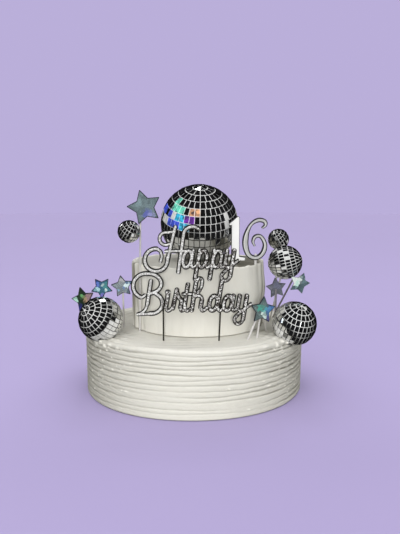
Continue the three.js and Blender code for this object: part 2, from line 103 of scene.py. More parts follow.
# cream pushed over the rim by the side balls: angle, height, half length, half height, relief
LUMPS = [
    (211, 72, 2.4, 1.6, 2), (215, 70.4, 3.4, 2.4, 2.8), (219.5, 72.2, 2.2, 1.8, 2.2),
    (222.5, 69, 2.6, 1.6, 2), (226.5, 71.5, 3, 1.3, 1.6), (232, 70, 1.8, 1.3, 1.5),
    (313.5, 70.2, 1.8, 2.8, 2), (318, 72.4, 2.4, 1.6, 2.4), (322, 69.8, 2, 2, 2.6),
    (325.5, 72, 2.8, 1.6, 2.8), (329.5, 69.5, 2.2, 2.2, 2.4), (333, 73, 2.6, 1.6, 2.4),
    (306, 71.5, 3.4, 1.1, 1.3),
]
# small chips of cream that the comb left standing: angle, height and relief
CHIPS = [
    (219, 61, 1), (224.5, 64.5, 1.2), (221, 52.5, 1), (231, 68.5, 1), (228.5, 45.5, 0.9),
    (218, 25, 0.8), (302, 66, 1.2), (318, 63.5, 1), (325.5, 62, 1), (313.5, 51, 1.1),
    (316, 48.5, 0.9), (323, 42.5, 0.9), (321.5, 33, 0.8), (296, 7, 0.9),
]
CHIP = SimpleNamespace(half_angle=0.011, half_height=1)
# torn cream, most of it on the two sides: the middle and spread of its angle in degrees, the
# middle and spread of its height, and its number of crumbs
TORN = [
    (326, 12, 44, 24, 70), (216, 13, 46, 24, 46), (270, 60, 40, 26, 12), (90, 80, 40, 26, 60),
    (322, 8, 68, 5, 40), (218, 8, 68, 5, 34),
]
CRUMB = SimpleNamespace(
    seed=77, half_length=(0.7, 2.2), half_height=(0.45, 0.9), signs=(1, 1, -0.8),
    relief=(0.4, 1.3), lowest=4, below_top=3)
# seeded waves round the cake: seed, slowest wave in whole turns, and number of waves, each a
# little lower than the one before, and then all lowered together
WAVE_FADE = 0.45
WAVE_SUM = 1.9
WAVES = {
    "drift": (0, 1, 7), "waver": (40, 9, 5), "fray": (60, 34, 8), "force": (80, 2, 11),
    "rib phase": (340, 6, 7), "ribs": (341, 24, 9), "ripple phase": (300, 1, 7),
    "ripple": (310, 4, 4), "rim": (320, 3, 9), "streak phase": (330, 3, 7),
    "streaks": (331, 5, 3), "dents": (500, 9, 12), "wrinkles": (510, 34, 10),
    "beads": (520, 24, 14), "strokes": (530, 30, 12),
}

# mirror balls: radius, rows and columns of tiles, and the way the poles point
BALLS = {
    "mirror_ball_top": (47, 16, 46, (0.02, -0.38, 0.92)),
    "mirror_ball_left": (25, 12, 31, (-0.6, -0.61, 0.52)),
    "mirror_ball_right": (25, 12, 32, (0.23, -0.43, 0.87)),
    "mirror_ball_right_middle": (20, 10, 34, (0.965, -0.12, 0.23)),
    "mirror_ball_right_small": (13, 9, 22, (-0.5, -0.4, 0.77)),
    "mirror_ball_left_small": (13, 9, 22, (0.5, -0.4, 0.77)),
}
DENT_GAP = 0.4 * MM
# a tile's widest gap in radii of the ball, its thickness and chamfer, how deep the core lies
# below the flat tiles, the fewest tiles in a row, and the chance that one near a glint shows it
TILE = SimpleNamespace(
    gap=0.045, thickness=1.1 * MM, chamfer=0.14 * MM, core_depth=0.45 * MM, fewest=7,
    glint_chance=0.75)
# the hole at each pole, in the ball's radii and some more, and the plug in it: its radius and
# rim in radii of the hole, its length, how far under the tiles its middle is, its hole's depth
POLE_HOLE = (0.02, 0.8 * MM)
PLUG = SimpleNamespace(radius=0.85, rim=0.45, length=3 * MM, under=1.4 * MM, hole=1.2 * MM)

# rounding of a star's tips and of its edges, and how square to the front its faces are
STAR = SimpleNamespace(tip_round=0.9 * MM, edge_round=0.8 * MM, facing=0.85, tip_share=0.75)
# a stick from foot to head: a share of its length, more radii along, and its width in radii
STICK_OUTLINE = [
    (0, 0, 0.15), (0, 1.5, 0.7), (0, 3, 1), (0.25, 0, 1), (0.5, 0, 1.02), (0.75, 0, 1),
    (1, -0.9, 1), (1, -0.45, 0.85), (1, -0.12, 0.5), (1, 0, 0.12),
]
STICK_SIDES = 16
PICK_RADIUS = 0.9
CANDLE_PICK_RADIUS = 1.6

GREETING = SimpleNamespace(
    back=-92, thickness=3, right=0.8, baseline=106.2, line_spacing=46.7, stroke=5.2,
    hairline=4.2, slant=0.16, rim=1.9, step=0.7, soft_edge=0.7, rim_curl=0.25)
# the right edges of the two capitals where the lean is 0, the upper word's first, and the
# height that parts the words; they bound the painted highlight on the capitals
CAPITALS = SimpleNamespace(upper_edge=-10, lower_edge=-34, parting=34, soft=4)
# how flat to the front a candle's silver faces are (less flat ones get painted edge shade), and
# the lean from which the left gets a painted highlight
CANDLE = SimpleNamespace(
    front=-40, thickness=6.5, floor=156.3, six_middle=70.4, bevel=2.1, one_bevel=1.8,
    facing=0.9, highlight_lean=-0.12)


# ------------------------------------------------------------------ settings of the panel

class CakeSizes(bpy.types.PropertyGroup):
    groove_depth: bpy.props.FloatProperty(
        name="Groove depth", description="How deep the comb cut into the lower tier",
        default=1.05 * MM, unit="LENGTH")
    groove_width: bpy.props.FloatProperty(
        name="Groove width", description="Half width of a comb groove",
        default=0.6 * MM, unit="LENGTH")
    tile_gap: bpy.props.FloatProperty(
        name="Tile gap", description="Silver gap between two mirror tiles",
        default=0.85 * MM, unit="LENGTH")
    tile_tilt: bpy.props.FloatProperty(
        name="Tile tilt", description="How far a mirror tile may lean out of true",
        default=math.radians(2.2), subtype="ANGLE")
    stick_radius: bpy.props.FloatProperty(
        name="Stick radius", description="Radius of the topper sticks",
        default=1.05 * MM, unit="LENGTH")


class CakeColours(bpy.types.PropertyGroup):
    cream: bpy.props.FloatVectorProperty(
        name="Cream", description="Buttercream in full light",
        default=(0.79, 0.772, 0.705), size=3, subtype="COLOR")
    # cream_shade is the colour of the painted shade in the cream's creases and shaded places
    cream_shade: bpy.props.FloatVectorProperty(
        name="Cream shade", description="Buttercream in its creases",
        default=(0.2, 0.188, 0.148), size=3, subtype="COLOR")
    silver: bpy.props.FloatVectorProperty(
        name="Silver", description="Glitter face of the greeting and wax of the numbers",
        default=(0.72, 0.72, 0.71), size=3, subtype="COLOR")
    grout: bpy.props.FloatVectorProperty(
        name="Grout", description="Silver core that shows between mirror tiles",
        default=(0.93, 0.93, 0.92), size=3, subtype="COLOR")
    floor: bpy.props.FloatVectorProperty(
        name="Floor", description="The floor the cake stands on",
        default=(0.482, 0.414, 0.69), size=3, subtype="COLOR")


# ------------------------------------------------------------------ shader trees

class Signal:
    """A socket of a shader tree that takes part in Python sums: each one adds a Math node."""

    def __init__(self, finish, socket):
        self.finish = finish
        self.socket = socket

    def math(self, operation, *operands):
        return self.finish.node(
            "ShaderNodeMath", {"operation": operation}, dict(enumerate(operands)))

    def __add__(self, other):
        return self.math("ADD", self, other)

    def __radd__(self, other):
        return self.math("ADD", other, self)

    def __sub__(self, other):
        return self.math("SUBTRACT", self, other)

    def __rsub__(self, other):
        return self.math("SUBTRACT", other, self)

    def __mul__(self, other):
        return self.math("MULTIPLY", self, other)

    def __rmul__(self, other):
        return self.math("MULTIPLY", other, self)

    def between(self, low, high):
        """0 below low, 1 above high and a soft step between them."""
        return self.finish.node(
            "ShaderNodeMapRange", {"interpolation_type": "SMOOTHSTEP"},
            {0: self, 1: low, 2: high, 3: 0, 4: 1})


class Finish:
    """A material under construction, with one Principled shader."""

    def __init__(self, name, constants):
        self.material = bpy.data.materials.new(name)
        self.material.use_nodes = True
        self.tree = self.material.node_tree
        self.shader = self.tree.nodes["Principled BSDF"]
        self.feed(constants)

    def node(self, kind, settings=None, inputs=None, output=0):
        """Adds a node: its type, its settings, the values or links of its inputs."""
        made = self.tree.nodes.new(kind)
        for key, value in (settings or {}).items():
            if key == "stops":
                self.set_stops(made.color_ramp, value)
            else:
                setattr(made, key, value)
        for key, value in (inputs or {}).items():
            self.fill(made.inputs[key], value)
        return Signal(self, made.outputs[output])

    def fill(self, socket, value):
        if isinstance(value, Signal):
            self.tree.links.new(value.socket, socket)
        elif socket.type == "RGBA":
            socket.default_value = (*value[:3], 1)
        else:
            socket.default_value = value

    def feed(self, inputs):
        for key, value in inputs.items():
            self.fill(self.shader.inputs[key], value)

    @staticmethod
    def set_stops(ramp, stops):
        while len(ramp.elements) < len(stops):
            ramp.elements.new(1)
        for element, (place, colour) in zip(ramp.elements, stops):
            element.position = place
            element.color = (*colour, 1)

    def place(self, centre=(0, 0, 0), turn=(0, 0, 0), stretch=(1, 1, 1)):
        """Object coordinates measured from a centre, in a frame turned with the piece."""
        return self.node(
            "ShaderNodeMapping", {"vector_type": "TEXTURE"},
            {0: self.node("ShaderNodeTexCoord", output="Object"), 1: centre, 2: turn, 3: stretch})

    def noise(self, where, scale, detail=3, roughness=0.5):
        return self.node(
            "ShaderNodeTexNoise", None,
            {"Vector": where, "Scale": scale, "Detail": detail, "Roughness": roughness})

    def cells(self, where, scale, output="Color"):
        return self.node(
            "ShaderNodeTexVoronoi", None, {"Vector": where, "Scale": scale}, output)

    def attribute(self, name, output="Fac"):
        return self.node("ShaderNodeAttribute", {"attribute_name": name}, None, output)

    def ramp(self, amount, stops):
        return self.node("ShaderNodeValToRGB", {"stops": stops}, {0: amount})

    def mix(self, amount, first, second, blend="MIX"):
        return self.node(
            "ShaderNodeMix", {"data_type": "RGBA", "blend_type": blend, "clamp_factor": True},
            {0: amount, 6: first, 7: second}, output=2)

    def bump(self, height, distance, strength=1.0):
        return self.node(
            "ShaderNodeBump", None,
            {"Height": height, "Distance": distance, "Strength": strength})

    def distance(self, where, point):
        return self.node(
            "ShaderNodeVectorMath", {"operation": "DISTANCE"}, {0: where, 1: point}, output=1)


# how much each cause darkens the cream (painted shade in the creases and from the shade
# attribute, random clouds and streaks of tone), and the relief of its grain, streaks and clouds
CREAM = SimpleNamespace(
    crease=0.33, shade=0.83, clouds=0.17, streaks=0.18,
    grain_relief=0.12 * MM, streak_relief=0.35 * MM, cloud_relief=0.6 * MM)
# painted shade: the silver between tiles is dark on the side of a ball that faces down and to the
# cake
GROUT = SimpleNamespace(fall=80 * MM, dark_from=0.12, dark_to=0.36, dark=(0.05, 0.05, 0.045))
# foil: facets in a metre, how much they differ, the faint painted glow all over, how far a patch's
# edge frays and the share of its radius that it fills
FOIL = SimpleNamespace(facets=330, crackle=0.55, faint_glow=0.3, fray=2.2 * MM, solid=0.55)
UNLIT = (0.02, 0.03, 0.05)
FLASH = (1, 1, 0.99)


def dimmed(tint, share):
    """A colour with that share of its light, and no whiter than white."""
    return tuple(min(1, share * part) for part in tint)


def mottled(name, constants, tint, dark, scale, roughness, stretch=(1, 1, 1)):
    """A finish with soft clouds of a darker tint; roughness is its least and what clouds add."""
    finish = Finish(name, constants)
    clouds = finish.noise(finish.place(stretch=stretch), scale, detail=2)
    least, more = roughness
    finish.feed({
        "Base Color": finish.mix(clouds, tint, dark), "Roughness": least + clouds * more})
    return finish


def buttercream(name, stretch):
    """Cream, lightest on its crests, with painted shade: olive grey in its creases and where
    shaded.
    """
    colours = bpy.context.scene.cake_colours
    finish = Finish(name, {
        "Subsurface Weight": 0.06, "Subsurface Radius": (1, 0.9, 0.7), "Subsurface Scale": 2 * MM,
        "Specular IOR Level": 0.45})
    where = finish.place()
    clouds = finish.noise(where, scale=22, detail=4)
    grain = finish.noise(where, scale=900, roughness=0.6)
    streaks = finish.noise(finish.place(stretch=stretch), scale=160, roughness=0.6)
    # deep is painted shade from the crease and shade attributes, plus random tone
    deep = finish.attribute("crease") * CREAM.crease + finish.attribute("shade") * CREAM.shade
    deep = deep + (clouds - 0.5) * CREAM.clouds + (streaks - 0.5) * CREAM.streaks
    relief = grain * CREAM.grain_relief + streaks * CREAM.streak_relief
    relief = relief + clouds * CREAM.cloud_relief
    finish.feed({
        "Base Color": finish.mix(deep, tuple(colours.cream), tuple(colours.cream_shade)),
        "Roughness": 0.42 + streaks * 0.2,
        "Normal": finish.bump(relief, distance=1, strength=0.7)})
    return finish.material


def mirror_glass(name, tint, glow=0):
    """Back-silvered glass; a glow paints a reflection of coloured foil light in the tile."""
    constants = {"Metallic": 1, "Specular IOR Level": 0.5, "Emission Strength": glow}
    finish = mottled(name, constants, tint, dimmed(tint, 0.75), scale=120, roughness=(0.03, 0.06))
    if glow:
        spread = finish.cells(finish.place(), scale=260)
        finish.feed({"Emission Color": finish.mix(spread, tint, UNLIT)})
    return finish.material


def silver_grout(name, centre, radius):
    """Dull silver of the ball's core between the tiles, with painted shade low down towards the
    cake.
    """
    grey = tuple(bpy.context.scene.cake_colours.grout)
    finish = Finish(name, {"Metallic": 0.1})
    where = finish.place(centre)
    speckle = finish.noise(where, scale=700, detail=2)
    low_side = Vector((-centre.x, 0, -GROUT.fall)).normalized()
    lowness = finish.node(
        "ShaderNodeVectorMath", {"operation": "DOT_PRODUCT"}, {0: where, 1: low_side}, output=1)
    # painted shade on the side of the ball that faces down and to the cake
    low = lowness.between(GROUT.dark_from * radius, GROUT.dark_to * radius)
    bright = finish.mix(speckle, grey, dimmed(grey, 0.7))
    finish.feed({
        "Base Color": finish.mix(low, bright, GROUT.dark),
        "Roughness": 0.3 + speckle * 0.2})
    return finish.material


def window_reflection_tile():
    """A tile with a painted reflection of a bright window."""
    return mottled(
        "mirror_tile_window_reflection", {"Metallic": 0.1, "Specular IOR Level": 0.6}, (0.98, 0.98, 0.97),
        (0.6, 0.6, 0.59), scale=150, roughness=(0.12, 0.1)).material


def glitter(name, tint, size):
    """Fine glitter flakes, each with its own brightness and lean, the brightest painted white as
    glints, and whiter under a painted highlight.
    """
    finish = Finish(name, {"Metallic": 0.15, "Specular IOR Level": 0.6})
    flakes = finish.cells(finish.place(), scale=1 / size)
    light = finish.node("ShaderNodeSeparateColor", None, {0: flakes})
    stops = [(0, (0.02, 0.018, 0.015)), (0.42, (0.19, 0.17, 0.16)), (0.72, tint), (0.92, FLASH)]
    shine = finish.attribute("shine")
    finish.feed({
        "Base Color": finish.mix(shine * 0.5, finish.ramp(light, stops), FLASH),
        "Roughness": 0.22 + light * 0.25,
        "Normal": finish.bump(light, distance=0.25 * MM, strength=0.8)})
    return finish.material


def gloss_plastic(name, tint, roughness=0.25, metallic=0):
    """Moulded plastic or painted card with faint streaks along its length."""
    return mottled(
        name, {"Metallic": metallic, "Specular IOR Level": 0.55}, tint, dimmed(tint, 0.7),
        scale=500, roughness=(roughness, 0.12), stretch=(1, 1, 8)).material


def pearly_wax(name, tint, metallic):
    """Smooth glossy candle wax."""
    constants = {
        "Metallic": metallic, "Coat Weight": 0.4, "Coat Roughness": 0.15,
        "Specular IOR Level": 0.5}
    return mottled(
        name, constants, tint, dimmed(tint, 0.88), scale=60, roughness=(0.28, 0.1)).material


def holographic_foil(name, centre, turn, ground, patches):
    """Crackled foil: every facet takes one colour, by the patches of painted reflection round a
    star's middle, and glows with it as painted light.

    A patch is its place right of and above the middle, its radius, its colour and its glow."""
    finish = Finish(name, {"Metallic": 0.75, "Emission Strength": 0.55, "Specular IOR Level": 0.6})
    where = finish.place(centre, turn)
    facets = finish.cells(where, FOIL.facets, "Position")
    chance = finish.node("ShaderNodeSeparateColor", None, {0: finish.cells(where, FOIL.facets)})
    colour = finish.mix(chance * FOIL.crackle, ground, dimmed(ground, 0.35))
    light = finish.mix(FOIL.faint_glow, (0, 0, 0), colour)
    for right, above, radius, tint, glow in patches:
        far = finish.distance(facets, (right * MM, 0, above * MM)) + (chance - 0.5) * FOIL.fray
        near = 1 - far.between(FOIL.solid * radius * MM, radius * MM)
        colour = finish.mix(near, colour, tint)
        light = finish.mix(near * glow, light, tint)
    shimmer = finish.noise(where, scale=700, detail=2)
    finish.feed({
        "Base Color": colour,
        "Emission Color": light,
        "Roughness": 0.16 + shimmer * 0.16,
        "Normal": finish.bump(chance * 0.6 + shimmer * 0.3, distance=0.5 * MM, strength=0.6)})
    return finish.material


# ------------------------------------------------------------------ modelling

def select_only(*pieces):
    """Selects some pieces and nothing else, the first one active."""
    bpy.ops.object.select_all(action="DESELECT")
    for piece in pieces:
        piece.select_set(True)
    bpy.context.view_layer.objects.active = pieces[0]


@contextmanager
def editing(piece):
    """Edit mode on a piece for as long as the block lasts."""
    select_only(piece)
    bpy.ops.object.mode_set(mode="EDIT")
    yield bmesh.from_edit_mesh(piece.data)
    bpy.ops.object.mode_set(mode="OBJECT")


def started(name, primitive, **settings):
    """A new object from a primitive of bpy.ops.mesh, with a name."""
    bpy.ops.object.select_all(action="DESELECT")
    primitive(**settings)
    piece = bpy.context.active_object
    piece.name = name
    piece.data.name = name
    return piece


def settle(piece):
    """Puts the object at the origin and its place into its mesh."""
    select_only(piece)
    bpy.ops.object.transform_apply(location=True, rotation=True, scale=True)


def apply_modifier(piece, kind, **settings):
    modifier = piece.modifiers.new(kind.title(), kind)
    for key, value in settings.items():
        setattr(modifier, key, value)
    select_only(piece)
    bpy.ops.object.modifier_apply(modifier=modifier.name)


def chamfer(piece, width, degrees, segments=1):
    """Bevels the edges that turn by more than some degrees."""
    apply_modifier(
        piece, "BEVEL", width=width, segments=segments, limit_method="ANGLE",
        angle_limit=math.radians(degrees))


def smooth(piece, degrees):
    select_only(piece)
    bpy.ops.object.shade_smooth_by_angle(angle=math.radians(degrees))


def weld(threshold):
    """Merges doubles all over the piece that is being edited."""
    bpy.ops.mesh.select_all(action="SELECT")
    bpy.ops.mesh.remove_doubles(threshold=threshold)


def close_up(piece):
    """Merges doubles, fills what is open and turns all faces outwards."""
    with editing(piece):
        weld(0.002 * MM)
        bpy.ops.mesh.fill_holes(sides=0)
        bpy.ops.mesh.normals_make_consistent(inside=False)


def places(piece):
    """The arrays of x, y and z of all vertices, in millimetres."""
    flat = np.empty(len(piece.data.vertices) * 3)
    piece.data.vertices.foreach_get("co", flat)
    return flat.reshape(-1, 3).T / MM


def reshape(piece, move):
    """Moves every vertex as a function of the arrays of x, y and z, in millimetres."""
    moved = np.stack(move(*places(piece)), axis=1) * MM
    piece.data.vertices.foreach_set("co", moved.ravel())
    piece.data.update()


def paint(piece, name, values_of):
    """Stores a number at every vertex, worked out from its place in millimetres."""
    values = values_of(*places(piece)).astype(np.float32)
    layer = piece.data.attributes.new(name, "FLOAT", "POINT")
    layer.data.foreach_set("value", values)


def turned(name, profile, steps):
    """A closed round body spun about +Z from (radius, height) points in millimetres."""
    first = profile[0]
    piece = started(
        name, bpy.ops.mesh.primitive_plane_add, size=MM,
        location=(first[0] * MM, 0, first[1] * MM))
    with editing(piece):
        bpy.ops.mesh.select_all(action="SELECT")
        bpy.ops.mesh.merge(type="CENTER")
        for (r0, z0), (r1, z1) in zip(profile, profile[1:]):
            bpy.ops.mesh.extrude_vertices_move(
                TRANSFORM_OT_translate={"value": ((r1 - r0) * MM, 0, (z1 - z0) * MM)})
        bpy.ops.mesh.select_all(action="SELECT")
        bpy.ops.mesh.spin(steps=steps, angle=TAU, center=(0, 0, 0), axis=(0, 0, 1))
        weld(0.005 * MM)
        bpy.ops.mesh.normals_make_consistent(inside=False)
    settle(piece)
    return piece


def lofted(name, rings):
    """A closed body through rings of points, one grid sheet rolled up and capped."""
    rings = np.asarray(rings)
    count, around, _ = rings.shape
    piece = started(
        name, bpy.ops.mesh.primitive_grid_add, x_subdivisions=around, y_subdivisions=count - 1)
    rolled = np.concatenate([rings, rings[:, :1]], axis=1) * MM
    piece.data.vertices.foreach_set("co", rolled.ravel())
    piece.data.update()
    close_up(piece)
    return piece


def hand_over(piece, slot, *nodes):
    """Parents a finished piece to the root body and hides the imported nodes it stands for; slot
    is not used.
    """
    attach(piece, "root")
    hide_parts(*nodes)


def dress(piece, *materials):
    piece.data.materials.clear()
    for material in materials:
        piece.data.materials.append(material)


# ------------------------------------------------------------------ cream

# Painted shade of the lower tier, 0 to about 1: on its side torn cream and the left are darker,
# and crumbs and a spot by the right ball get a painted highlight; on its top the ring under the
# upper tier, the spot in front of the right ball, the cream beside both balls and the streaks are
# darker.
LOWER_SHADE = SimpleNamespace(
    torn=0.6, left=0.1, crumbs=0.8, bright=0.25, bright_spot=(math.radians(326), 64, 0.25, 9),
    under_tier=0.04, by_ball=0.24, by_ball_spot=(80, -45, 26), beside=0.56, streaks=0.3)
# Painted shade of the upper tier: its wrinkles, with a mean and a change round it, its top and the
# painted shade and reflections of the smears on the top's right, a painted highlight on the paler
# lip, and two patches low on its side.
UPPER_SHADE = SimpleNamespace(
    wrinkles=1.1, mean=0.45, change=0.75, top=0.45, smears=0.85, smears_from=25, lip=0.5,
    right=0.55, right_spot=(math.radians(338), 2, 0.32, 18),
    front=0.14, front_spot=(math.radians(260), 12, 0.7, 30))


def wander(angle, name, number=0):
    """An uneven line round the cake, about -1 to 1, from seeded waves of whole turns."""
    seed, slowest, waves = WAVES[name]
    draw = random.Random(seed + number)
    total = np.zeros_like(angle)
    for wave in range(waves):
        turns = slowest + wave + draw.randrange(2)
        total += np.sin(turns * angle + draw.uniform(0, TAU)) / (1 + WAVE_FADE * wave)
    return total / WAVE_SUM


def rise(value, start, width):
    """0 up to start, 1 from start + width on, and an even slope between them."""
    return np.clip((value - start) / width, 0, 1)


def fall(value, end, width):
    """1 up to end - width, 0 from end on, and an even slope between them."""
    return np.clip((end - value) / width, 0, 1)


def polar(x, y):
    """The angle from +X, from 0 to a whole turn, and the distance from the middle."""
    return np.arctan2(y, x) % TAU, np.hypot(x, y)


def aside(angle, middle):
    """How far an angle is from a middle, in the shorter way round."""
    return (angle - middle + math.pi) % TAU - math.pi


def patch(angle, height, middle, at, wide, high):
    """A soft round patch on a tier's side: its middle and half width in radians."""
    return np.exp(-((aside(angle, middle) / wide) ** 2) - ((height - at) / high) ** 2)


def raggedness(angle):
    """1 on the two sides, where the comb tore the cream, and 0 at the front and back."""
    return np.abs(np.cos(angle)) ** COMB.side_power


def groove_depths(angle, height, width):
    """How deep the comb cut at each place, from 0 to about 1."""
    depth = np.zeros_like(angle)
    ragged = raggedness(angle)
    gain = 1 - GROOVE.right_gain * np.cos(angle)
    for number, level in enumerate(LOWER.grooves):
        line = level + GROOVE.drift * wander(angle, "drift", number)
        line += GROOVE.waver * wander(angle, "waver", number)
        line += (GROOVE.fray + GROOVE.side_fray * ragged) * wander(angle, "fray", number)
        force = GROOVE.force + GROOVE.unevenness * wander(angle, "force", number)
        force += GROOVE.side_force * ragged
        force *= 1 - GROOVE.low_fade * max(0, 1 - level / GROOVE.fade_height) * gain
        force = np.clip(force, GROOVE.weakest, GROOVE.strongest)
        away = (height - line) / width
        away = np.where(away > 0, away / GROOVE.upper_flank, away)
        depth = np.maximum(depth, force * np.exp(-(away ** 2)))
    return depth


def lumps(angle, height):
    """Relief of the cream that the side balls pushed over the rim."""
    relief = np.zeros_like(angle)
    for degrees, at, long, high, proud in LUMPS:
        wide = long / LOWER.radius
        relief += proud * patch(angle, height, math.radians(degrees), at, wide, high)
    return relief


def crumbs(angle, height):
    """Relief of the chips and of the torn cream."""
    relief = np.zeros_like(angle)
    for degrees, at, proud in CHIPS:
        relief += proud * patch(
            angle, height, math.radians(degrees), at, CHIP.half_angle, CHIP.half_height)
    draw = random.Random(CRUMB.seed)
    for middle, spread, level, rising, count in TORN:
        for _ in range(count):
            degrees, at = draw.gauss(middle, spread), draw.gauss(level, rising)
            wide = draw.uniform(*CRUMB.half_length) / LOWER.radius
            high = draw.uniform(*CRUMB.half_height)
            proud = draw.choice(CRUMB.signs) * draw.uniform(*CRUMB.relief)
            if CRUMB.lowest < at < LOWER.top - CRUMB.below_top:
                relief += proud * patch(angle, height, math.radians(degrees), at, wide, high)
    return relief


def combed_relief(angle, height, depth, width):
    """How far the combed side stands out from the lower tier's plain radius, in millimetres."""
    groove = groove_depths(angle, height, width)
    trough = groove_depths(angle, height, COMB.trough_width * width)
    cut = depth * (COMB.front_depth + COMB.side_depth * raggedness(angle))
    relief = -cut * groove - COMB.trough_depth * cut * trough + COMB.stands_up * depth
    relief += lumps(angle, height) + crumbs(angle, height)
    ribs = np.sin(height * COMB.rib_pitch + COMB.rib_drift * wander(angle, "rib phase"))
    return relief + COMB.rib_height * raggedness(angle) * ribs * wander(angle, "ribs")


def outline(tier):
    """A tier's outline, from the middle of its floor round to the middle of its top."""
    start, end = tier.floor + tier.side[0], tier.top - tier.side[1]
    foot = [(tier.radius - inwards, tier.floor + up) for inwards, up in tier.foot]
    side = [(tier.radius, z) for z in np.arange(start, end, tier.rings)]
    brim = [(tier.radius - inwards, tier.top - down) for inwards, down in tier.brim]
    return [(0, tier.floor), *foot, *side, *brim, (0, tier.top)]


def gathered(x, y, z):
    """Draws the mesh columns together at the front, where the tier is seen from near."""
    behind, away = np.arctan2(y, x) + math.pi / 2, np.hypot(x, y)
    angle = behind - LOWER.front_share * np.sin(behind) - math.pi / 2
    return away * np.cos(angle), away * np.sin(angle), z


def combed(x, y, z, depth, width):
    """The lower tier's combed side, and its top with ripples and pushed-up cream at the rim."""
    radius, top = LOWER.radius, LOWER.top
    angle, away = polar(x, y)
    swell = LOWER.oval * np.sin(2 * angle - 0.4) + LOWER.wavy * np.sin(5 * angle + z / 40)
    swell += LOWER.lean * (z - top / 2) / top
    relief = combed_relief(angle, z, depth, width) * rise(away, radius - 5, 3)
    scale = (away + rise(away, radius - 14, 12) * swell + relief) / np.maximum(away, 1)
    phase = away * LOWER.ripple_pitch + 2 * wander(angle, "ripple phase")
    ripple = LOWER.top_ripple * np.sin(phase) * wander(angle, "ripple")
    ripple += LOWER.rim_ripple * wander(angle, "rim") * rise(away, radius - 10, 6)
    pushed_up = LOWER.pushed_up * lumps(angle, np.minimum(z, top - 3))
    rim = rise(z, top - 6, 4) * rise(away, LOWER.ledge, 10)
    return x * scale, y * scale, z + rim * (ripple + pushed_up)


def lower_crease_shade(x, y, z, width):
    """Painted shade in the grooves, greater on the torn sides."""
    angle, away = polar(x, y)
    darker = 1 + COMB.side_crease_shade * raggedness(angle)
    return np.where(away > LOWER.radius - 4, darker * groove_depths(angle, z, width), 0)


def lower_shade(x, y, z):
    """Painted shade on the lower tier's sides, sheltered top and streaks; painted highlights on
    crumbs.
    """
    angle, away = polar(x, y)
    side = LOWER_SHADE.torn * raggedness(angle) + LOWER_SHADE.left * np.clip(-np.cos(angle), 0, 1)
    # painted highlights on the crumbs and lumps and on a spot by the right ball
    side -= LOWER_SHADE.crumbs * np.clip(crumbs(angle, z) + lumps(angle, z), 0, 1)
    side -= LOWER_SHADE.bright * patch(angle, z, *LOWER_SHADE.bright_spot)
    right, back, reach = LOWER_SHADE.by_ball_spot
    beside = rise(np.abs(x), 60, 14) * rise(y, -72, 30)
    beside *= fall(y, np.where(x < 0, 90, 45), 30) * fall(away, 126, 8)
    phase = LOWER.ripple_pitch * away + 3 * wander(angle, "streak phase")
    streaks = np.clip(np.sin(phase), 0, 1) * np.clip(0.3 + wander(angle, "streaks"), 0, 1)
    on_top = LOWER_SHADE.under_tier * fall(away, 110, 20) * rise(y, -95, 40)
    on_top += LOWER_SHADE.by_ball * fall(np.hypot(x - right, y - back), 1.3 * reach, reach)
    on_top += LOWER_SHADE.beside * beside
    on_top += LOWER_SHADE.streaks * streaks * rise(away, LOWER.ledge, 6)
    on_side = rise(away, LOWER.radius - 5, 2)
    return on_side * side + (1 - on_side) * on_top


def wrinkles(angle):
    """Upright spatula marks: 1 on the left and right sides of the tier, 0 elsewhere."""
    return sum(np.exp(-((aside(angle, middle) / wide) ** 2)) for middle, wide in WRINKLES)


def smeared(x, y, z):
    """The upper tier's uneven side, and its top edge, beaded all round and lower in front."""
    radius, top = UPPER.radius, UPPER.top
    angle, away = polar(x, y)
    up = z - UPPER.floor
    on_side = rise(away, radius - 8, 5)
    swell = UPPER.oval * np.sin(2 * angle + 1.1) + UPPER.wavy * np.sin(3 * angle - up / 25)
    swell += BELLY.proud * patch(angle, up, *BELLY.place)
    swell += UPPER.dents * wander(angle + up / 200, "dents")
    swell += UPPER.wrinkles * wrinkles(angle) * wander(angle + up / 900, "wrinkles")
    scale = (away + on_side * swell) / np.maximum(away, 1)
    beads = UPPER.beads * np.clip(wander(angle, "beads"), -0.2, 1.4)
    ripple = UPPER.top_ripple * np.sin(x / 5 + y / 11) * (1 - on_side) * (away > 30)
    front = np.clip(-y / radius, 0, 1) * (0.7 + 0.3 * x / radius)
    lift = np.where(z > top - 1, beads * on_side + ripple, 0)
    lift -= UPPER.droop * front * rise(z, top - 12, 11)
    return x * scale + UPPER.offset, y * scale, z + lift


def upper_shade(x, y, z):
    """Painted shade on the upper tier's wrinkles, side foot and smeared top; a painted highlight
    on its lip.
    """
    angle, away = polar(x - UPPER.offset, y)
    strokes = np.clip(UPPER_SHADE.mean + UPPER_SHADE.change * wander(angle, "strokes"), 0, 1)
    side = UPPER_SHADE.wrinkles * wrinkles(angle) * strokes
    side += UPPER_SHADE.right * patch(angle, z - UPPER.floor, *UPPER_SHADE.right_spot)
    side += UPPER_SHADE.front * patch(angle, z - UPPER.floor, *UPPER_SHADE.front_spot)
    smears = 1 + 0.4 * np.sin(0.5 * y + 0.1 * x) * np.sin(0.21 * x - 0.3 * y)
    smears *= rise(x, UPPER_SHADE.smears_from, 25)
    on_top = (z > UPPER.top - 4) & (away < UPPER.radius - 3)
    on_lip = (z > UPPER.top + 0.3) & (away >= UPPER.radius - 2)
    tops = on_top * (UPPER_SHADE.top + UPPER_SHADE.smears * smears) - UPPER_SHADE.lip * on_lip
    return rise(away, UPPER.radius - 4, 2) * side + tops


def ball_place(node):
    """A ball's middle and radius, in metres."""
    low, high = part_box(node)
    return (low + high) / 2, BALLS[node][0] * MM


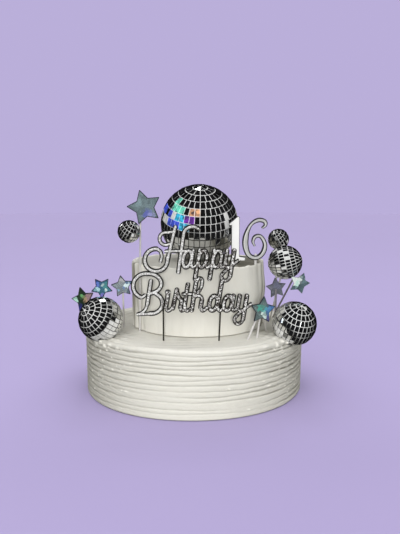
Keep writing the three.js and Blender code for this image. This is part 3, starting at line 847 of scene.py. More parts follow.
def press_in(tier, *balls):
    """Cuts the dents that mirror balls leave in the cream."""
    for node in balls:
        centre, radius = ball_place(node)
        ball = started(
            node + "_dent", bpy.ops.mesh.primitive_uv_sphere_add, segments=96, ring_count=48,
            radius=radius + DENT_GAP, location=centre)
        settle(ball)
        apply_modifier(tier, "BOOLEAN", object=ball, operation="DIFFERENCE", solver="MANIFOLD")
        bpy.data.objects.remove(ball)


def finish_tier(tier, cream, node):
    smooth(tier, 60)
    dress(tier, cream)
    hand_over(tier, "buttercream", node)


def make_lower_tier():
    sizes = bpy.context.scene.cake_sizes
    depth, width = sizes.groove_depth / MM, sizes.groove_width / MM
    tier = turned("combed_tier", outline(LOWER), LOWER.steps)
    reshape(tier, gathered)
    reshape(tier, lambda x, y, z: combed(x, y, z, depth, width))
    press_in(tier, "mirror_ball_left", "mirror_ball_right")
    # painted shade in the comb grooves
    paint(tier, "crease", lambda x, y, z: lower_crease_shade(x, y, z, width))
    # painted shade of the sides and the top, with painted highlights
    paint(tier, "shade", lower_shade)
    finish_tier(tier, buttercream("combed_buttercream", (1, 1, 0.35)), "lower_tier")


def make_upper_tier():
    tier = turned("smooth_tier", outline(UPPER), UPPER.steps)
    reshape(tier, smeared)
    press_in(tier, "mirror_ball_top")
    paint(tier, "crease", lambda x, y, z: 0 * x)
    # painted shade of the wrinkles, foot and top, and a painted highlight on the lip
    paint(tier, "shade", upper_shade)
    finish_tier(tier, buttercream("smoothed_buttercream", (1, 1, 4)), "upper_tier")


# ------------------------------------------------------------------ mirror balls

# Painted reflections on the tiles of each ball: a place right of and above the ball's middle and a
# reach round it, in radii, and the finish there: a painted window, or the number of a coloured
# foil light.
PAINTED_WINDOW, BLUE, TEAL, MINT, ORANGE, PURPLE = range(-1, 5)
GLINTS = {
    "mirror_ball_top": [
        (-0.86, 0.2, 0.12, PAINTED_WINDOW), (-0.77, 0.36, 0.12, BLUE), (-0.75, 0.12, 0.13, BLUE),
        (-0.62, 0.3, 0.11, TEAL), (-0.6, 0.5, 0.13, MINT), (-0.46, 0.38, 0.15, MINT),
        (-0.6, 0.04, 0.13, BLUE), (-0.5, 0.16, 0.13, TEAL), (-0.44, -0.04, 0.13, TEAL),
        (-0.2, 0.3, 0.16, ORANGE), (-0.28, 0.1, 0.13, PURPLE), (-0.66, 0.2, 0.06, PAINTED_WINDOW),
        (0.46, 0.02, 0.05, PAINTED_WINDOW), (0.67, 0.02, 0.05, PAINTED_WINDOW), (0.98, 0.26, 0.05, PAINTED_WINDOW),
    ],
    "mirror_ball_left": [
        (0.12, -0.62, 0.16, PAINTED_WINDOW), (0.32, -0.45, 0.15, PAINTED_WINDOW), (0.52, -0.24, 0.14, PAINTED_WINDOW),
        (0.42, -0.68, 0.18, PAINTED_WINDOW), (0.66, -0.4, 0.16, PAINTED_WINDOW), (0.8, -0.1, 0.14, PAINTED_WINDOW),
        (-0.1, -0.82, 0.12, PAINTED_WINDOW), (-0.15, -0.66, 0.13, PAINTED_WINDOW), (0.05, -0.45, 0.12, PAINTED_WINDOW),
        (0.22, -0.28, 0.12, PAINTED_WINDOW), (0.4, -0.1, 0.12, PAINTED_WINDOW), (0.57, 0.04, 0.12, PAINTED_WINDOW),
    ],
    "mirror_ball_right": [
        (-0.82, -0.1, 0.14, PAINTED_WINDOW), (-0.7, -0.38, 0.16, PAINTED_WINDOW), (-0.48, -0.62, 0.17, PAINTED_WINDOW),
        (-0.2, -0.78, 0.15, PAINTED_WINDOW), (0.05, -0.88, 0.12, PAINTED_WINDOW),
    ],
    "mirror_ball_right_middle": [
        (-0.1, 0.66, 0.1, PAINTED_WINDOW), (-0.07, 0.28, 0.08, PAINTED_WINDOW), (0.02, -0.45, 0.1, PAINTED_WINDOW),
        (-0.3, -0.2, 0.09, PAINTED_WINDOW), (-0.56, -0.1, 0.1, PAINTED_WINDOW), (-0.5, -0.46, 0.12, PAINTED_WINDOW),
        (0.7, 0.16, 0.08, PAINTED_WINDOW), (0.88, -0.38, 0.08, PAINTED_WINDOW),
    ],
    "mirror_ball_right_small": [
        (-0.37, 0.74, 0.2, PAINTED_WINDOW), (0.44, -0.6, 0.16, PAINTED_WINDOW), (0.8, 0.47, 0.12, PAINTED_WINDOW),
    ],
}
# colours of foil light, painted on the tiles as glowing reflections
FOIL_REFLECTIONS = [(0.06, 0.1, 0.7), (0.05, 0.5, 0.75), (0.2, 0.85, 0.62), (0.95, 0.5, 0.25),
         (0.22, 0.04, 0.45)]


def tile_bands(radius, rows, columns, cap):
    """Rows of tiles from the bottom up: the number in each, and its two edges."""
    for row in range(rows):
        edges = [-math.pi / 2 + math.pi * (row + end) / rows for end in (0, 1)]
        count = max(TILE.fewest, round(columns * math.cos(sum(edges) / 2)))
        rings = [(max(cap, radius * math.cos(edge)), radius * math.sin(edge)) for edge in edges]
        yield count, rings


def tile_shell(name, radius, rows, columns, gap, cap):
    """One frustum for each row of tiles, each face then pulled in by half the gap."""
    shell = None
    for count, ((low, bottom), (high, top)) in tile_bands(radius, rows, columns, cap):
        cone = {
            "vertices": count, "radius1": low, "radius2": high, "depth": top - bottom,
            "end_fill_type": "NOTHING", "location": (0, 0, (bottom + top) / 2),
            "rotation": (0, 0, math.pi)}
        if shell is None:
            shell = started(name, bpy.ops.mesh.primitive_cone_add, **cone)
            settle(shell)
            bpy.ops.object.mode_set(mode="EDIT")
        else:
            bpy.ops.mesh.primitive_cone_add(**cone)
    bpy.ops.mesh.select_all(action="SELECT")
    bpy.ops.mesh.normals_make_consistent(inside=False)
    bpy.ops.mesh.inset(thickness=gap / 2, use_individual=True, use_even_offset=True)
    bpy.ops.mesh.select_all(action="INVERT")
    bpy.ops.mesh.delete(type="VERT")
    bpy.ops.object.mode_set(mode="OBJECT")
    return shell


def lean_tiles(shell, tilt, seed):
    """Turns every tile a little about its own middle, as hand-laid tiles stand."""
    draw = random.Random(seed)
    with editing(shell) as mesh:
        for tile in mesh.faces:
            middle = tile.calc_center_median()
            axis = Vector((draw.gauss(0, 1), draw.gauss(0, 1), draw.gauss(0, 1))).normalized()
            turn = Matrix.Rotation(draw.uniform(-tilt, tilt), 3, axis)
            for corner in tile.verts:
                corner.co = middle + turn @ (corner.co - middle)


# places of the finishes on a ball, the core's silver first, and the chances of the three kinds of
# glass away from the glints: clear, dull, and a painted window reflection
CLEAR_GLASS, DULL_GLASS, PAINTED_WINDOW_GLASS, FIRST_FOIL_REFLECTION = range(1, 5)
GLASS_CHANCES = (0.88, 0.11, 0.01)


def paint_tile_reflections(shell, turn, radius, glints, seed):
    """Paints a reflection on the tiles near each glint, and gives a few others a duller glass or a
    painted window.
    """
    draw = random.Random(seed)
    for tile in shell.data.polygons:
        place = turn @ tile.center / radius
        glass = draw.choices((CLEAR_GLASS, DULL_GLASS, PAINTED_WINDOW_GLASS), GLASS_CHANCES)[0]
        tile.material_index = glass
        if place.y > 0:
            continue
        for right, above, reach, tint in glints:
            near = math.hypot(place.x - right, place.z - above) < reach
            if near and draw.random() < TILE.glint_chance:
                tile.material_index = FIRST_FOIL_REFLECTION + tint


def add_core(ball, core, cap, radius):
    """The silver core, and the small plug with a hole at each pole."""
    with editing(ball) as mesh:
        tiled = len(mesh.faces)
        bpy.ops.mesh.select_all(action="DESELECT")
        bpy.ops.mesh.primitive_uv_sphere_add(
            segments=64, ring_count=32, radius=core, location=(0, 0, 0))
        for end in (1, -1):
            bpy.ops.mesh.select_all(action="DESELECT")
            bpy.ops.mesh.primitive_cylinder_add(
                vertices=20, radius=cap * PLUG.radius, depth=PLUG.length,
                location=(0, 0, end * (radius - PLUG.under)))
            mesh = bmesh.from_edit_mesh(ball.data)
            for face in mesh.faces:
                face.select = face.select and face.normal.z * end > 0.9
            bpy.ops.mesh.inset(thickness=cap * PLUG.rim)
            bpy.ops.transform.translate(value=(0, 0, -end * PLUG.hole))
        mesh = bmesh.from_edit_mesh(ball.data)
        mesh.faces.ensure_lookup_table()
        for face in mesh.faces[tiled:]:
            face.material_index = 0


def make_mirror_balls():
    sizes = bpy.context.scene.cake_sizes
    # mirror glass, and tiles that paint glowing reflections of coloured foil light or of a window
    clear = mirror_glass("mirror_tile", (0.9, 0.91, 0.92))
    dull = mirror_glass("mirror_tile_dull", (0.42, 0.43, 0.43))
    foil_glass = [mirror_glass(f"mirror_tile_foil_reflection_{n}", tint, 1.2) for n, tint in enumerate(FOIL_REFLECTIONS)]
    window_glass = window_reflection_tile()
    for number, (node, (size, rows, columns, pole)) in enumerate(BALLS.items()):
        centre, radius = ball_place(node)
        gap = min(sizes.tile_gap, TILE.gap * radius)
        cap = POLE_HOLE[0] * radius + POLE_HOLE[1]
        ball = tile_shell(node + "_tiled", radius, rows, columns, gap, cap)
        lean_tiles(ball, sizes.tile_tilt, number)
        turn = Vector((0, 0, 1)).rotation_difference(Vector(pole))
        grout = silver_grout(node + "_grout", centre, radius)
        dress(ball, grout, clear, dull, window_glass, *foil_glass)
        paint_tile_reflections(ball, turn, radius, GLINTS.get(node, []), number)
        apply_modifier(ball, "SOLIDIFY", thickness=TILE.thickness, offset=-1)
        chamfer(ball, TILE.chamfer, degrees=40)
        flat = radius * math.cos(math.pi / columns) * math.cos(math.pi / rows / 2)
        add_core(ball, flat - TILE.core_depth, cap, radius)
        ball.rotation_mode = "QUATERNION"
        ball.rotation_quaternion = turn
        ball.location = centre
        settle(ball)
        smooth(ball, 20)
        hand_over(ball, "mirror_tile", node)


# ------------------------------------------------------------------ stars and sticks

# each star's ground colour, and its patches of painted reflection and glint: place, radius, colour
# and glow
STARS = {
    "star_left_tall": ((0.42, 0.56, 0.6), [
        (2, -7, 6, (0.2, 0.22, 0.75), 0.4), (17, 9, 3.5, (0.06, 0.35, 0.2), 0.4),
        (-6, 5, 4, (0.45, 0.62, 0.66), 0.2), (8, -9, 5, (0.45, 0.45, 0.85), 0.4)]),
    "star_left_edge": ((0.06, 0.1, 0.06), [
        (8, 3, 7.5, (0.72, 0.46, 0.5), 0.25), (-10, -1, 3.4, (0.6, 0.95, 0.8), 0.8),
        (-2, 4.5, 3.4, (0.3, 0.75, 0.3), 0.5), (4, -1.5, 3.4, (0.85, 0.55, 0.35), 0.4),
        (1, 1, 3, (0.35, 0.3, 0.15), 0.2), (-4, -10, 6, (0.07, 0.06, 0.4), 0.4)]),
    "star_left_middle": ((0.16, 0.42, 0.6), [
        (-6, 6, 7, (0.05, 0.08, 0.42), 0.3), (-5, 4, 2.6, (0.2, 0.3, 0.85), 0.5),
        (6, 4, 5.5, (0.14, 0.46, 0.44), 0.3), (-5, -2, 3.4, (0.55, 0.85, 0.9), 0.8),
        (-0.5, 1.5, 2.4, (0.85, 1, 0.95), 0.8), (4, -2.5, 2.4, (0.8, 1, 0.95), 0.8),
        (-12, -6, 4.5, (0.03, 0.05, 0.2), 0.1), (12, -6, 3, (0.3, 0.75, 0.8), 0.5),
        (0, -11, 6, (0.3, 0.25, 0.8), 0.5)]),
    "star_left_inner": ((0.62, 0.72, 0.78), [
        (8, 3, 6, (0.1, 0.25, 0.5), 0.3), (5, 1, 3.8, (0.8, 0.97, 1), 1),
        (3, -6, 3.2, (0.9, 0.97, 1), 1), (-3, -4.5, 3.6, (0.4, 0.62, 0.9), 0.6),
        (1, -2, 2.6, (0.2, 0.35, 0.75), 0.5), (9, -6, 5, (0.08, 0.14, 0.22), 0.1),
        (-2, 8, 5, (0.78, 0.78, 0.8), 0.3)]),
    "star_right_back": ((0.34, 0.36, 0.42), [
        (1, 3, 6, (0.27, 0.28, 0.42), 0.1), (-8, 1, 4, (0.36, 0.36, 0.44), 0.1)]),
    "star_right_folded": ((0.3, 0.45, 0.5), [
        (-7, 4, 9, (0.84, 0.92, 0.88), 3), (-3, -2, 4.4, (0.6, 0.85, 0.75), 2.2),
        (6, 4, 4, (0.35, 0.52, 0.55), 0.2)]),
    "star_right_front": ((0.36, 0.5, 0.5), [
        (9, 0, 7.5, (0.07, 0.22, 0.62), 0.4), (-3, 3, 4.5, (0.1, 0.55, 0.42), 0.5),
        (0, -5.5, 5, (0.8, 1, 0.95), 0.9), (9, 1, 2.6, (0.3, 0.75, 1), 0.8),
        (7, -11, 4.4, (0.12, 0.08, 0.4), 0.3), (1, -1, 3, (0.15, 0.75, 0.68), 0.6),
        (0, 12, 4, (0.12, 0.2, 0.22), 0.1)]),
}
STAR_YAW = {
    "star_left_edge": -16, "star_left_middle": 6, "star_left_inner": 6, "star_right_back": 8,
    "star_right_front": 20,
}


def copy_of(node, name):
    """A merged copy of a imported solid, free of the frame's own marks."""
    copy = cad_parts[node].copy()
    copy.data = copy.data.copy()
    copy.name = name
    copy.data.name = name
    copy.parent = None
    for key in list(copy.keys()):
        del copy[key]
    bpy.context.scene.collection.objects.link(copy)
    copy.matrix_world = Matrix.Identity(4)
    with editing(copy):
        weld(0.02 * MM)
        bpy.ops.mesh.dissolve_limited(angle_limit=math.radians(1))
        bpy.ops.mesh.normals_make_consistent(inside=False)
    return copy


def star_middle(star):
    """The mean of a star's corners, each place counted once."""
    corners = {tuple(round(part, 5) for part in corner.co) for corner in star.data.vertices}
    return sum((Vector(corner) for corner in corners), Vector()) / len(corners)


def make_foil_stars():
    edge = gloss_plastic("foil_edge", (0.035, 0.035, 0.05), 0.3, 0.4)
    for node, (ground, patches) in STARS.items():
        star = copy_of(node, node + "_foil")
        middle = star_middle(star)
        reach = max((corner.co - middle).length for corner in star.data.vertices)
        yaw = math.radians(STAR_YAW.get(node, 0))
        forward = Vector((math.sin(yaw), -math.cos(yaw), 0))
        with editing(star) as mesh:
            bpy.ops.mesh.select_all(action="DESELECT")
            for line in mesh.edges:
                along = (line.verts[0].co - line.verts[1].co).normalized()
                tip = max((corner.co - middle).length for corner in line.verts)
                outer = tip > STAR.tip_share * reach
                line.select = abs(along.dot(forward)) > STAR.facing and outer
            mesh.select_flush_mode()
            bpy.ops.mesh.bevel(offset=STAR.tip_round, segments=3, affect="EDGES")
        chamfer(star, STAR.edge_round, degrees=50)
        foil = holographic_foil(node + "_foil", middle, (0, 0, yaw), ground, patches)
        dress(star, foil, edge)
        for face in star.data.polygons:
            face.material_index = 0 if abs(face.normal.dot(forward)) > STAR.facing else 1
        smooth(star, 25)
        hand_over(star, "holographic_foil", node)


# the sticks that aren't white, and the greeting's picks
GREY_STICKS = {"star_right_folded_stick", "star_right_back_stick"}
PICKS = ("greeting_pick_left", "greeting_pick_right")


def stick_ends(node):
    """The middles of a stick's two ends, the lower first, in millimetres."""
    corners = np.array(sorted({
        (round(v.co.z / MM, 3), round(v.co.x / MM, 3), round(v.co.y / MM, 3))
        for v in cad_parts[node].data.vertices}))
    half = len(corners) // 2
    ends = [corners[:half].mean(axis=0), corners[half:].mean(axis=0)]
    return [np.array([x, y, z]) for z, x, y in ends]


def make_stick(node, radius, material, slot):
    """A smooth rod with a rounded head and a pointed foot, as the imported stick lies."""
    foot, head = stick_ends(node)
    along = head - foot
    length = np.linalg.norm(along)
    along = along / length
    side = np.cross(along, [0, 1, 0])
    side /= np.linalg.norm(side)
    front = np.cross(side, along)
    turns = [TAU * k / STICK_SIDES for k in range(STICK_SIDES)]
    rings = []
    for share, radii, wide in STICK_OUTLINE:
        middle = foot + along * (length * share + radius * radii)
        rings.append([
            middle + radius * wide * (side * math.cos(turn) + front * math.sin(turn))
            for turn in turns])
    stick = lofted(node + "_rod", rings)
    smooth(stick, 50)
    dress(stick, material)
    hand_over(stick, slot, node)


def make_sticks():
    radius = bpy.context.scene.cake_sizes.stick_radius / MM
    white = gloss_plastic("white_stick", (0.74, 0.72, 0.7), 0.25)
    grey = gloss_plastic("grey_stick", (0.27, 0.25, 0.28), 0.12, 0.2)
    dark = gloss_plastic("dark_pick", (0.06, 0.055, 0.045), 0.15, 0.4)
    for node in sorted(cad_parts):
        if node.endswith("_stick") or "_stick_" in node:
            make_stick(node, radius, grey if node in GREY_STICKS else white, "white_plastic")
    for node in PICKS:
        make_stick(node, PICK_RADIUS, dark, "dark_plastic")
    for node in ("candle_one_pick", "candle_six_pick"):
        make_stick(node, CANDLE_PICK_RADIUS, white, "white_plastic")


# ------------------------------------------------------------------ strokes

# Letters are drawn in millimetres over a baseline at 0: x is where a letter starts and h the
# height of a small letter. Each stroke is its line and its width.

def line(x0, y0, x1, y1):
    return [(x0 + (x1 - x0) * t, y0 + (y1 - y0) * t) for t in np.linspace(0, 1, 4)]


def arc(x, y, rx, ry, first, last):
    """Part of an ellipse, angles in degrees."""
    count = max(6, round(abs(last - first) / 9))
    angles = np.radians(np.linspace(first, last, count))
    return [(x + rx * math.cos(a), y + ry * math.sin(a)) for a in angles]


def spline(*points, steps=6):
    """A smooth line through points, with even steps between two of them."""
    knots = [points[0], *points, points[-1]]
    found = []
    for p0, p1, p2, p3 in zip(knots, knots[1:], knots[2:], knots[3:]):
        for t in np.arange(steps) / steps:
            found.append(tuple(
                0.5 * (2 * b + (c - a) * t + (2 * a - 5 * b + 4 * c - d) * t ** 2
                       + (3 * b - a - 3 * c + d) * t ** 3)
                for a, b, c, d in zip(p0, p1, p2, p3)))
    return found + [tuple(points[-1])]


WIDE, FINE = GREETING.stroke, GREETING.hairline


def stem(x, top, bottom):
    return [(line(x, top, x, bottom), WIDE)]


def hook(x, reach):
    return [(spline((x, 6.4), (x + reach * 0.4, 2.2), (x + reach, 5.2)), FINE)]


def bowl(x, h):
    return [(arc(x, h / 2, 4.3, h / 2 - WIDE / 2, first, last), WIDE)
            for first, last in ((80, 280), (-100, 100))]


def tail(x, y):
    """The loop under a y, and the thin line back up."""
    return [(arc(x - 4.4, y, 4.4, 5, 0, -200), FINE),
            (spline((x - 8.6, y + 1.6), (x - 3.6, y + 8), (x + 6, y + 16.4)), FINE)]


def letter_a(x, h):
    return bowl(x, h) + stem(x + 5, h - 2.6, 6) + hook(x + 5, 6.4)


def letter_d(x, h):
    return bowl(x, h) + stem(x + 5.2, h + 15.6, 6) + hook(x + 5.2, 6.4)


def letter_p(x, h):
    return stem(x, h - 2.6, -9.8) + bowl(x + 4.7, h) + hook(x + 8.2, 6.4)


def letter_y(x, h):
    cup = [(arc(x + 3.8, 6.6, 3.8, 4.2, 180, 360), FINE)]
    return stem(x, h - 2.6, 7) + cup + stem(x + 7.6, h - 2.6, -7) + tail(x + 7.4, -7)


def letter_i(x, h):
    dot = [(line(x - 0.8, h + 1.6, x - 0.4, h + 1.6), WIDE + 0.6)]
    return stem(x, h - 1, 6) + dot + hook(x, 7)


def letter_r(x, h):
    shoulder = spline((x + 1.4, h + 2.6), (x + 4.4, h - 3.6), (x + 8, h - 7.6), (x + 8, 6))
    return [(line(x, 5, x + 1.4, h + 4), WIDE), (shoulder, WIDE)] + hook(x + 8, 5)


def letter_t(x, h):
    bar = [(line(x - 3.6, h - 0.4, x + 5.2, h - 0.4), FINE)]
    return stem(x, h + 9.6, 6) + bar + hook(x, 8)


def letter_h(x, h):
    return stem(x, h + 13.6, 3) + [
        (arc(x + 3.4, h + 12, 3.2, 4.6, 170, -10), FINE),
        (spline((x + 6.6, h + 11.4), (x + 6, h + 6), (x + 1, h - 4)), FINE),
        (arc(x + 4.6, h - 7, 4.6, 4.8, 180, 0), FINE),
    ] + stem(x + 9.2, h - 7, 6) + hook(x + 9.2, 6.4)


def capital_h():
    return [
        (line(-20.6, 44.4, -29, 9), WIDE), (arc(-40.9, 10.1, 12, 12, 8, -272), WIDE),
        (spline((-40.6, 22.1), (-36.2, 19.4), (-34.9, 14), (-36, 9)), FINE),
        (arc(-30.6, 32.8, 6.4, 6.6, 75, 300), FINE), (line(-29.4, 39.3, -22, 40.2), FINE),
        (line(-30.2, 19.4, -8, 20), FINE), (line(-11.6, 38, -17.4, -2.2), WIDE),
        (arc(-2.4, 36.8, 9.2, 8.6, 180, 46), WIDE),
    ]


def capital_b():
    return [
        (line(-46.6, 34.2, -50.6, 9.8), WIDE),
        (spline((-50.6, 10.4), (-52.4, 4.6), (-56.4, 0.2), (-60.6, -1.4)), FINE),
        (arc(-51.5, 29.1, 14, 13.4, 80, 242), WIDE),
        (spline((-58.4, 17.4), (-55.8, 17.2), (-53.6, 18.8)), FINE),
        (arc(-49, 31.8, 13.4, 10.6, 100, -86), WIDE), (arc(-46.5, 10.6, 12, 11.3, 62, -96), WIDE),
        (line(-47, -0.7, -60.4, -1.4), FINE),
    ]


# each word: its baseline above the lower word's, the height of a small letter, its capital
# and where each small letter starts
WORDS = [
    (GREETING.line_spacing, 22.6, capital_h,
     [(letter_a, -9.8), (letter_p, 1.9), (letter_p, 17.4), (letter_y, 31)]),
    (0, 20.8, capital_b,
     [(letter_i, -31.8), (letter_r, -24.4), (letter_t, -12.2), (letter_h, -3.9),
      (letter_d, 18.2), (letter_a, 33.6), (letter_y, 45.1)]),
]


def stations(points, width_at, end_steps=5):
    """Middles, side ways and half widths along a line, with a round end at both its ends."""
    path = np.array([p for i, p in enumerate(points) if i == 0 or p != points[i - 1]], float)
    along = np.gradient(path, axis=0)
    along /= np.linalg.norm(along, axis=1)[:, None]
    far = np.concatenate([[0], np.cumsum(np.linalg.norm(np.diff(path, axis=0), axis=1))])
    found = [(p, a, width_at(s / far[-1]) / 2) for p, a, s in zip(path, along, far)]
    turn = [math.radians(90 * (k + 1) / (end_steps + 0.4)) for k in range(end_steps)]
    (first, ahead, half), (last, onward, last_half) = found[0], found[-1]
    opening = [(first - ahead * half * math.sin(t), ahead, half * math.cos(t))
               for t in reversed(turn)]
    closing = [(last + onward * last_half * math.sin(t), onward, last_half * math.cos(t))
               for t in turn]
    return [(p, np.array([-a[1], a[0]]), w) for p, a, w in opening + found + closing]


def stroke_rings(points, width_at, section):
    """Rings along a stroke: section gives (sideways, forwards) pairs for a half width."""
    return [
        [(*(middle + sideways * s), f) for s, f in section(half)]
        for middle, sideways, half in stations(points, width_at)]


def stepped_section(half):
    """A dark rim at each edge, painted shade along the letters' edges, and a raised face between
    them.
    """
    high, low = GREETING.thickness, GREETING.thickness - GREETING.step
    inner = half - min(GREETING.rim, half * 0.5)
    soft = min(GREETING.soft_edge, inner * 0.5)
    right = [(half, 0), (half, low - GREETING.rim_curl), (half - 0.2, low), (inner, low),
             (inner, high - soft), (inner - soft, high)]
    return right + [(-s, f) for s, f in reversed(right)]


def upright(piece, right, front_plane, base):
    """Stands a piece drawn flat in x, y and forwards up in the plane of x and z."""
    reshape(piece, lambda x, y, z: (x + right, front_plane - z, y + base))


def capital_highlight(x, y, z):
    """Painted highlight: 1 on the two capitals, whose broad strokes catch the light, and 0 on the
    small letters.
    """
    up = z - GREETING.baseline
    edge = np.where(up > CAPITALS.parting, CAPITALS.upper_edge, CAPITALS.lower_edge)
    return fall(x, edge + GREETING.slant * up, CAPITALS.soft)


def make_greeting():
    slant, thickness = GREETING.slant, GREETING.thickness
    parts = []
    for baseline, height, capital, letters in WORDS:
        strokes = [(points, width, 0) for points, width in capital()]
        for letter, x in letters:
            strokes += [(points, width, slant) for points, width in letter(x, height)]
        for points, width, lean in strokes:
            leaning = [(x + lean * y, y + baseline) for x, y in points]
            rings = stroke_rings(leaning, lambda _, width=width: width, stepped_section)
            parts.append(lofted("stroke", rings))
    greeting = united("greeting_script", parts)
    upright(greeting, GREETING.right, GREETING.back, GREETING.baseline)
    face_plane = (GREETING.back - thickness + GREETING.step * 0.8) * MM
    sheet = glitter("silver_glitter", (0.8, 0.8, 0.78), 1.1 * MM)
    # the dark rim is painted shade along the letters' edges
    rim = gloss_plastic("rim_painted_shade", (0.02, 0.018, 0.015), 0.3, 0.2)
    dress(greeting, sheet, rim)
    paint(greeting, "shine", capital_highlight)
    for face in greeting.data.polygons:
        face.material_index = 0 if face.center.y < face_plane else 1
    smooth(greeting, 30)
    hand_over(greeting, "mirror_sheet", "greeting")


def united(name, parts):
    """Joins closed bodies into one by a union on a collection."""
    first, *others = parts
    group = bpy.data.collections.new(name + "_parts")
    bpy.context.scene.collection.children.link(group)
    for part in others:
        bpy.context.scene.collection.objects.unlink(part)
        group.objects.link(part)
    apply_modifier(
        first, "BOOLEAN", operand_type="COLLECTION", collection=group, operation="UNION",
        solver="MANIFOLD")
    for part in others:
        bpy.data.objects.remove(part)
    bpy.data.collections.remove(group)
    first.name = name
    first.data.name = name
    with editing(first):
        weld(0.01 * MM)
    return first


# ------------------------------------------------------------------ number candles

# the six: one stroke from the curl at the top right round to the curl inside the bowl
SIX_STROKE = [
    (8.4, 37.6, 2.4), (11.6, 40.6, 5), (10.3, 44.9, 5), (3.4, 46.2, 3.9), (-4.6, 41.6, 5),
    (-10, 30.5, 6.7), (-11.2, 17.5, 6.9), (-7.2, 6, 6.2), (1.5, 2.9, 5.4), (9, 8.4, 5.4),
    (11.3, 18.5, 5.4), (6.4, 27.4, 4.6), (0, 27.2, 4.3), (-2.6, 21.6, 4), (-0.8, 17.2, 2.2),
]


def bevelled_section(half):
    """A flat back, upright sides and a wide rounded bevel to a narrow flat front."""
    bevel = min(CANDLE.bevel, half * 0.8)
    rounded = [
        (half - bevel + bevel * math.cos(a), CANDLE.thickness - bevel * 0.8 * (1 - math.sin(a)))
        for a in np.radians([0, 22, 45, 68, 90])]
    right = [(half - 0.4, 0), (half, 0.4), *rounded]
    return right + [(-s, f) for s, f in reversed(right)]


def make_number_candles():
    silver = tuple(bpy.context.scene.cake_colours.silver)
    white = dimmed(silver, 1.25)
    # painted shade on the candles' edges and a painted highlight on their left-facing faces
    edge = pearly_wax("wax_edge_painted_shade", (0.025, 0.025, 0.03), 0.1)
    light = pearly_wax("silver_wax_painted_highlight", white, 0.1)
    centre = spline(*SIX_STROKE)
    points = [(x, y) for x, y, _ in centre]
    widths = [width for _, _, width in centre]
    shares = np.linspace(0, 1, len(widths))
    six = lofted("candle_six_wax", stroke_rings(
        points, lambda u: np.interp(u, shares, widths), bevelled_section))
    upright(six, CANDLE.six_middle, CANDLE.front + CANDLE.thickness, CANDLE.floor)
    one = copy_of("candle_one", "candle_one_wax")
    chamfer(one, CANDLE.one_bevel * MM, degrees=50, segments=3)
    for candle, node, wax in (
            (six, "candle_six", pearly_wax("silver_wax", dimmed(silver, 1.15), 0.4)),
            (one, "candle_one", pearly_wax("white_wax", white, 0))):
        smooth(candle, 35)
        dress(candle, wax, edge, light)
        for face in candle.data.polygons:
            front = 2 if face.normal.x < CANDLE.highlight_lean else 0
            face.material_index = 1 if abs(face.normal.y) < CANDLE.facing else front
        hand_over(candle, "silver_wax", node)


# ------------------------------------------------------------------ stage

BACKDROP = (0.492, 0.429, 0.698)
SOFT_LIGHT = (0.13, 0.13, 0.13)
DIM_ROOM = (0.012, 0.012, 0.013)
CAMERA = SimpleNamespace(
    location=(0.2056 * MM, -716.36 * MM, 234.85 * MM), pitch=0.1265, yaw=0.0099,
    focal_pixels=592.54, image_height=534, sensor=36, nearest=0.01, furthest=50)
# suns, which mirrors don't show: strength, spread, azimuth and elevation in degrees, where
# azimuth 0 is the front and 90 the right
SUNS = {
    "key": (1.4, 80, 0, 27), "front": (1.35, 8, 0, 9), "above": (1.4, 90, 0, 85),
    "back_left": (1, 60, -150, 15), "back_right": (1, 60, 150, 15),
}
# small round lamps for the mirror tiles to show: diameter, power and place, in metres
LAMPS = {"front_lamp": (0.2, 1, (-1.1, -0.9, 0.45)), "ceiling_lamp": (0.22, 1, (0, 0.75, 1.4))}
LAMPS_AIM = (0, 0, 0.15)


def add_light(name, kind, power, from_where, **settings):
    """A light that shines the opposite way to from_where."""
    data = bpy.data.lights.new(name, kind)
    data.energy = power
    for key, value in settings.items():
        setattr(data, key, value)
    light = bpy.data.objects.new(name, data)
    bpy.context.scene.collection.objects.link(light)
    light.rotation_euler = (-from_where).to_track_quat("-Z", "Y").to_euler()
    return light


def add_lights():
    for name, (strength, spread, azimuth, elevation) in SUNS.items():
        side, up = math.radians(azimuth), math.radians(elevation)
        sky = Vector((math.sin(side) * math.cos(up), -math.cos(side) * math.cos(up), math.sin(up)))
        sun = add_light(name, "SUN", strength, sky, angle=math.radians(spread))
        sun.visible_glossy = False
    for name, (size, power, place) in LAMPS.items():
        lamp = add_light(
            name, "AREA", power, Vector(place) - Vector(LAMPS_AIM), shape="DISK", size=size)
        lamp.location = place


def make_camera():
    data = bpy.data.cameras.new("camera")
    data.sensor_width = CAMERA.sensor
    data.lens = CAMERA.focal_pixels * data.sensor_width / CAMERA.image_height
    data.clip_start = CAMERA.nearest
    data.clip_end = CAMERA.furthest
    camera = bpy.data.objects.new("camera", data)
    bpy.context.scene.collection.objects.link(camera)
    camera.location = CAMERA.location
    camera.rotation_euler = (math.pi / 2 - CAMERA.pitch, 0, -CAMERA.yaw)
    bpy.context.scene.camera = camera


def make_world():
    """A lilac backdrop, soft white light for matt surfaces and a dim room for mirrors to show."""
    world = bpy.data.worlds.new("studio")
    bpy.context.scene.world = world
    world.use_nodes = True
    nodes, links = world.node_tree.nodes, world.node_tree.links
    rays = nodes.new("ShaderNodeLightPath")
    seen = nodes["Background"]
    seen.inputs[0].default_value = (*SOFT_LIGHT, 1)
    for ray, colour in (("Is Camera Ray", BACKDROP), ("Is Glossy Ray", DIM_ROOM)):
        other = nodes.new("ShaderNodeBackground")
        other.inputs[0].default_value = (*colour, 1)
        pick = nodes.new("ShaderNodeMixShader")
        links.new(rays.outputs[ray], pick.inputs[0])
        links.new(seen.outputs[0], pick.inputs[1])
        links.new(other.outputs[0], pick.inputs[2])
        seen = pick
    links.new(seen.outputs[0], nodes["World Output"].inputs[0])


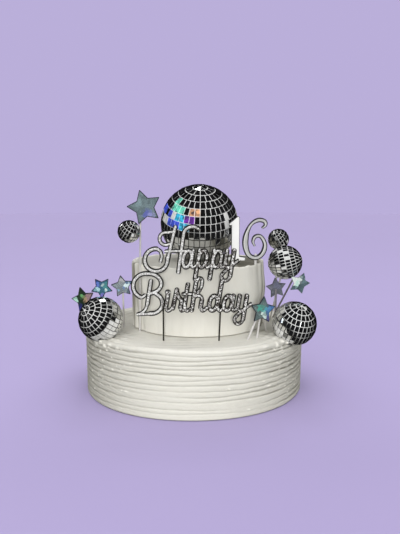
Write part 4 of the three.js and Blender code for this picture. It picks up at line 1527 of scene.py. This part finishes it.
def make_stage():
    tint = tuple(bpy.context.scene.cake_colours.floor)
    floor = started("floor", bpy.ops.mesh.primitive_circle_add, vertices=96, radius=6,
                    fill_type="NGON", location=(0, 0, -0.4 * MM))
    settle(floor)
    finish = Finish("floor", {"Roughness": 0.9, "Specular IOR Level": 0.1})
    clouds = finish.noise(finish.place(), scale=3, detail=2)
    finish.feed({"Base Color": finish.mix(clouds, tint, dimmed(tint, 0.97))})
    dress(floor, finish.material)
    floor.visible_glossy = False
    floor.visible_diffuse = False
    make_camera()
    make_world()
    add_lights()
    bpy.context.scene.view_settings.view_transform = "Standard"


# ------------------------------------------------------------------ operators and panel

class CAKE_OT_stage(bpy.types.Operator):
    """Lays the floor and sets the camera and the lights"""
    bl_idname = "cake.stage"
    bl_label = "Stage"

    def execute(self, context):
        make_stage()
        return {"FINISHED"}


class CAKE_OT_lower_tier(bpy.types.Operator):
    """Models the combed lower tier"""
    bl_idname = "cake.lower_tier"
    bl_label = "Lower Tier"

    def execute(self, context):
        make_lower_tier()
        return {"FINISHED"}


class CAKE_OT_upper_tier(bpy.types.Operator):
    """Models the smooth upper tier"""
    bl_idname = "cake.upper_tier"
    bl_label = "Upper Tier"

    def execute(self, context):
        make_upper_tier()
        return {"FINISHED"}


class CAKE_OT_mirror_balls(bpy.types.Operator):
    """Tiles the mirror balls"""
    bl_idname = "cake.mirror_balls"
    bl_label = "Mirror Balls"

    def execute(self, context):
        make_mirror_balls()
        return {"FINISHED"}


class CAKE_OT_foil_stars(bpy.types.Operator):
    """Rounds the stars and covers them with foil"""
    bl_idname = "cake.foil_stars"
    bl_label = "Foil Stars"

    def execute(self, context):
        make_foil_stars()
        return {"FINISHED"}


class CAKE_OT_sticks(bpy.types.Operator):
    """Models the sticks and picks that hold the toppers"""
    bl_idname = "cake.sticks"
    bl_label = "Sticks"

    def execute(self, context):
        make_sticks()
        return {"FINISHED"}


class CAKE_OT_greeting(bpy.types.Operator):
    """Cuts out the script greeting"""
    bl_idname = "cake.greeting"
    bl_label = "Greeting"

    def execute(self, context):
        make_greeting()
        return {"FINISHED"}


class CAKE_OT_number_candles(bpy.types.Operator):
    """Moulds the number candles"""
    bl_idname = "cake.number_candles"
    bl_label = "Number Candles"

    def execute(self, context):
        make_number_candles()
        return {"FINISHED"}


STEPS = (
    CAKE_OT_stage, CAKE_OT_lower_tier, CAKE_OT_upper_tier, CAKE_OT_mirror_balls,
    CAKE_OT_foil_stars, CAKE_OT_sticks, CAKE_OT_greeting, CAKE_OT_number_candles,
)


class CAKE_PT_panel(bpy.types.Panel):
    """Lists the steps of the cake and its settings"""
    bl_label = "Birthday Cake"
    bl_idname = "CAKE_PT_panel"
    bl_space_type = "VIEW_3D"
    bl_region_type = "UI"
    bl_category = "Cake"

    def draw(self, context):
        for step in STEPS:
            self.layout.operator(step.bl_idname)
        for group in (context.scene.cake_sizes, context.scene.cake_colours):
            for key in group.bl_rna.properties.keys():
                if key not in ("rna_type", "name"):
                    self.layout.prop(group, key)


CLASSES = (CakeSizes, CakeColours, *STEPS, CAKE_PT_panel)


def register():
    for made in CLASSES:
        bpy.utils.register_class(made)
    bpy.types.Scene.cake_sizes = bpy.props.PointerProperty(type=CakeSizes)
    bpy.types.Scene.cake_colours = bpy.props.PointerProperty(type=CakeColours)


def unregister():
    del bpy.types.Scene.cake_colours
    del bpy.types.Scene.cake_sizes
    for made in reversed(CLASSES):
        bpy.utils.unregister_class(made)


def main():
    register()
    bpy.ops.cake.stage()
    bpy.ops.cake.lower_tier()
    bpy.ops.cake.upper_tier()
    bpy.ops.cake.mirror_balls()
    bpy.ops.cake.foil_stars()
    bpy.ops.cake.sticks()
    bpy.ops.cake.greeting()
    bpy.ops.cake.number_candles()


if __name__ == "__main__":
    main()
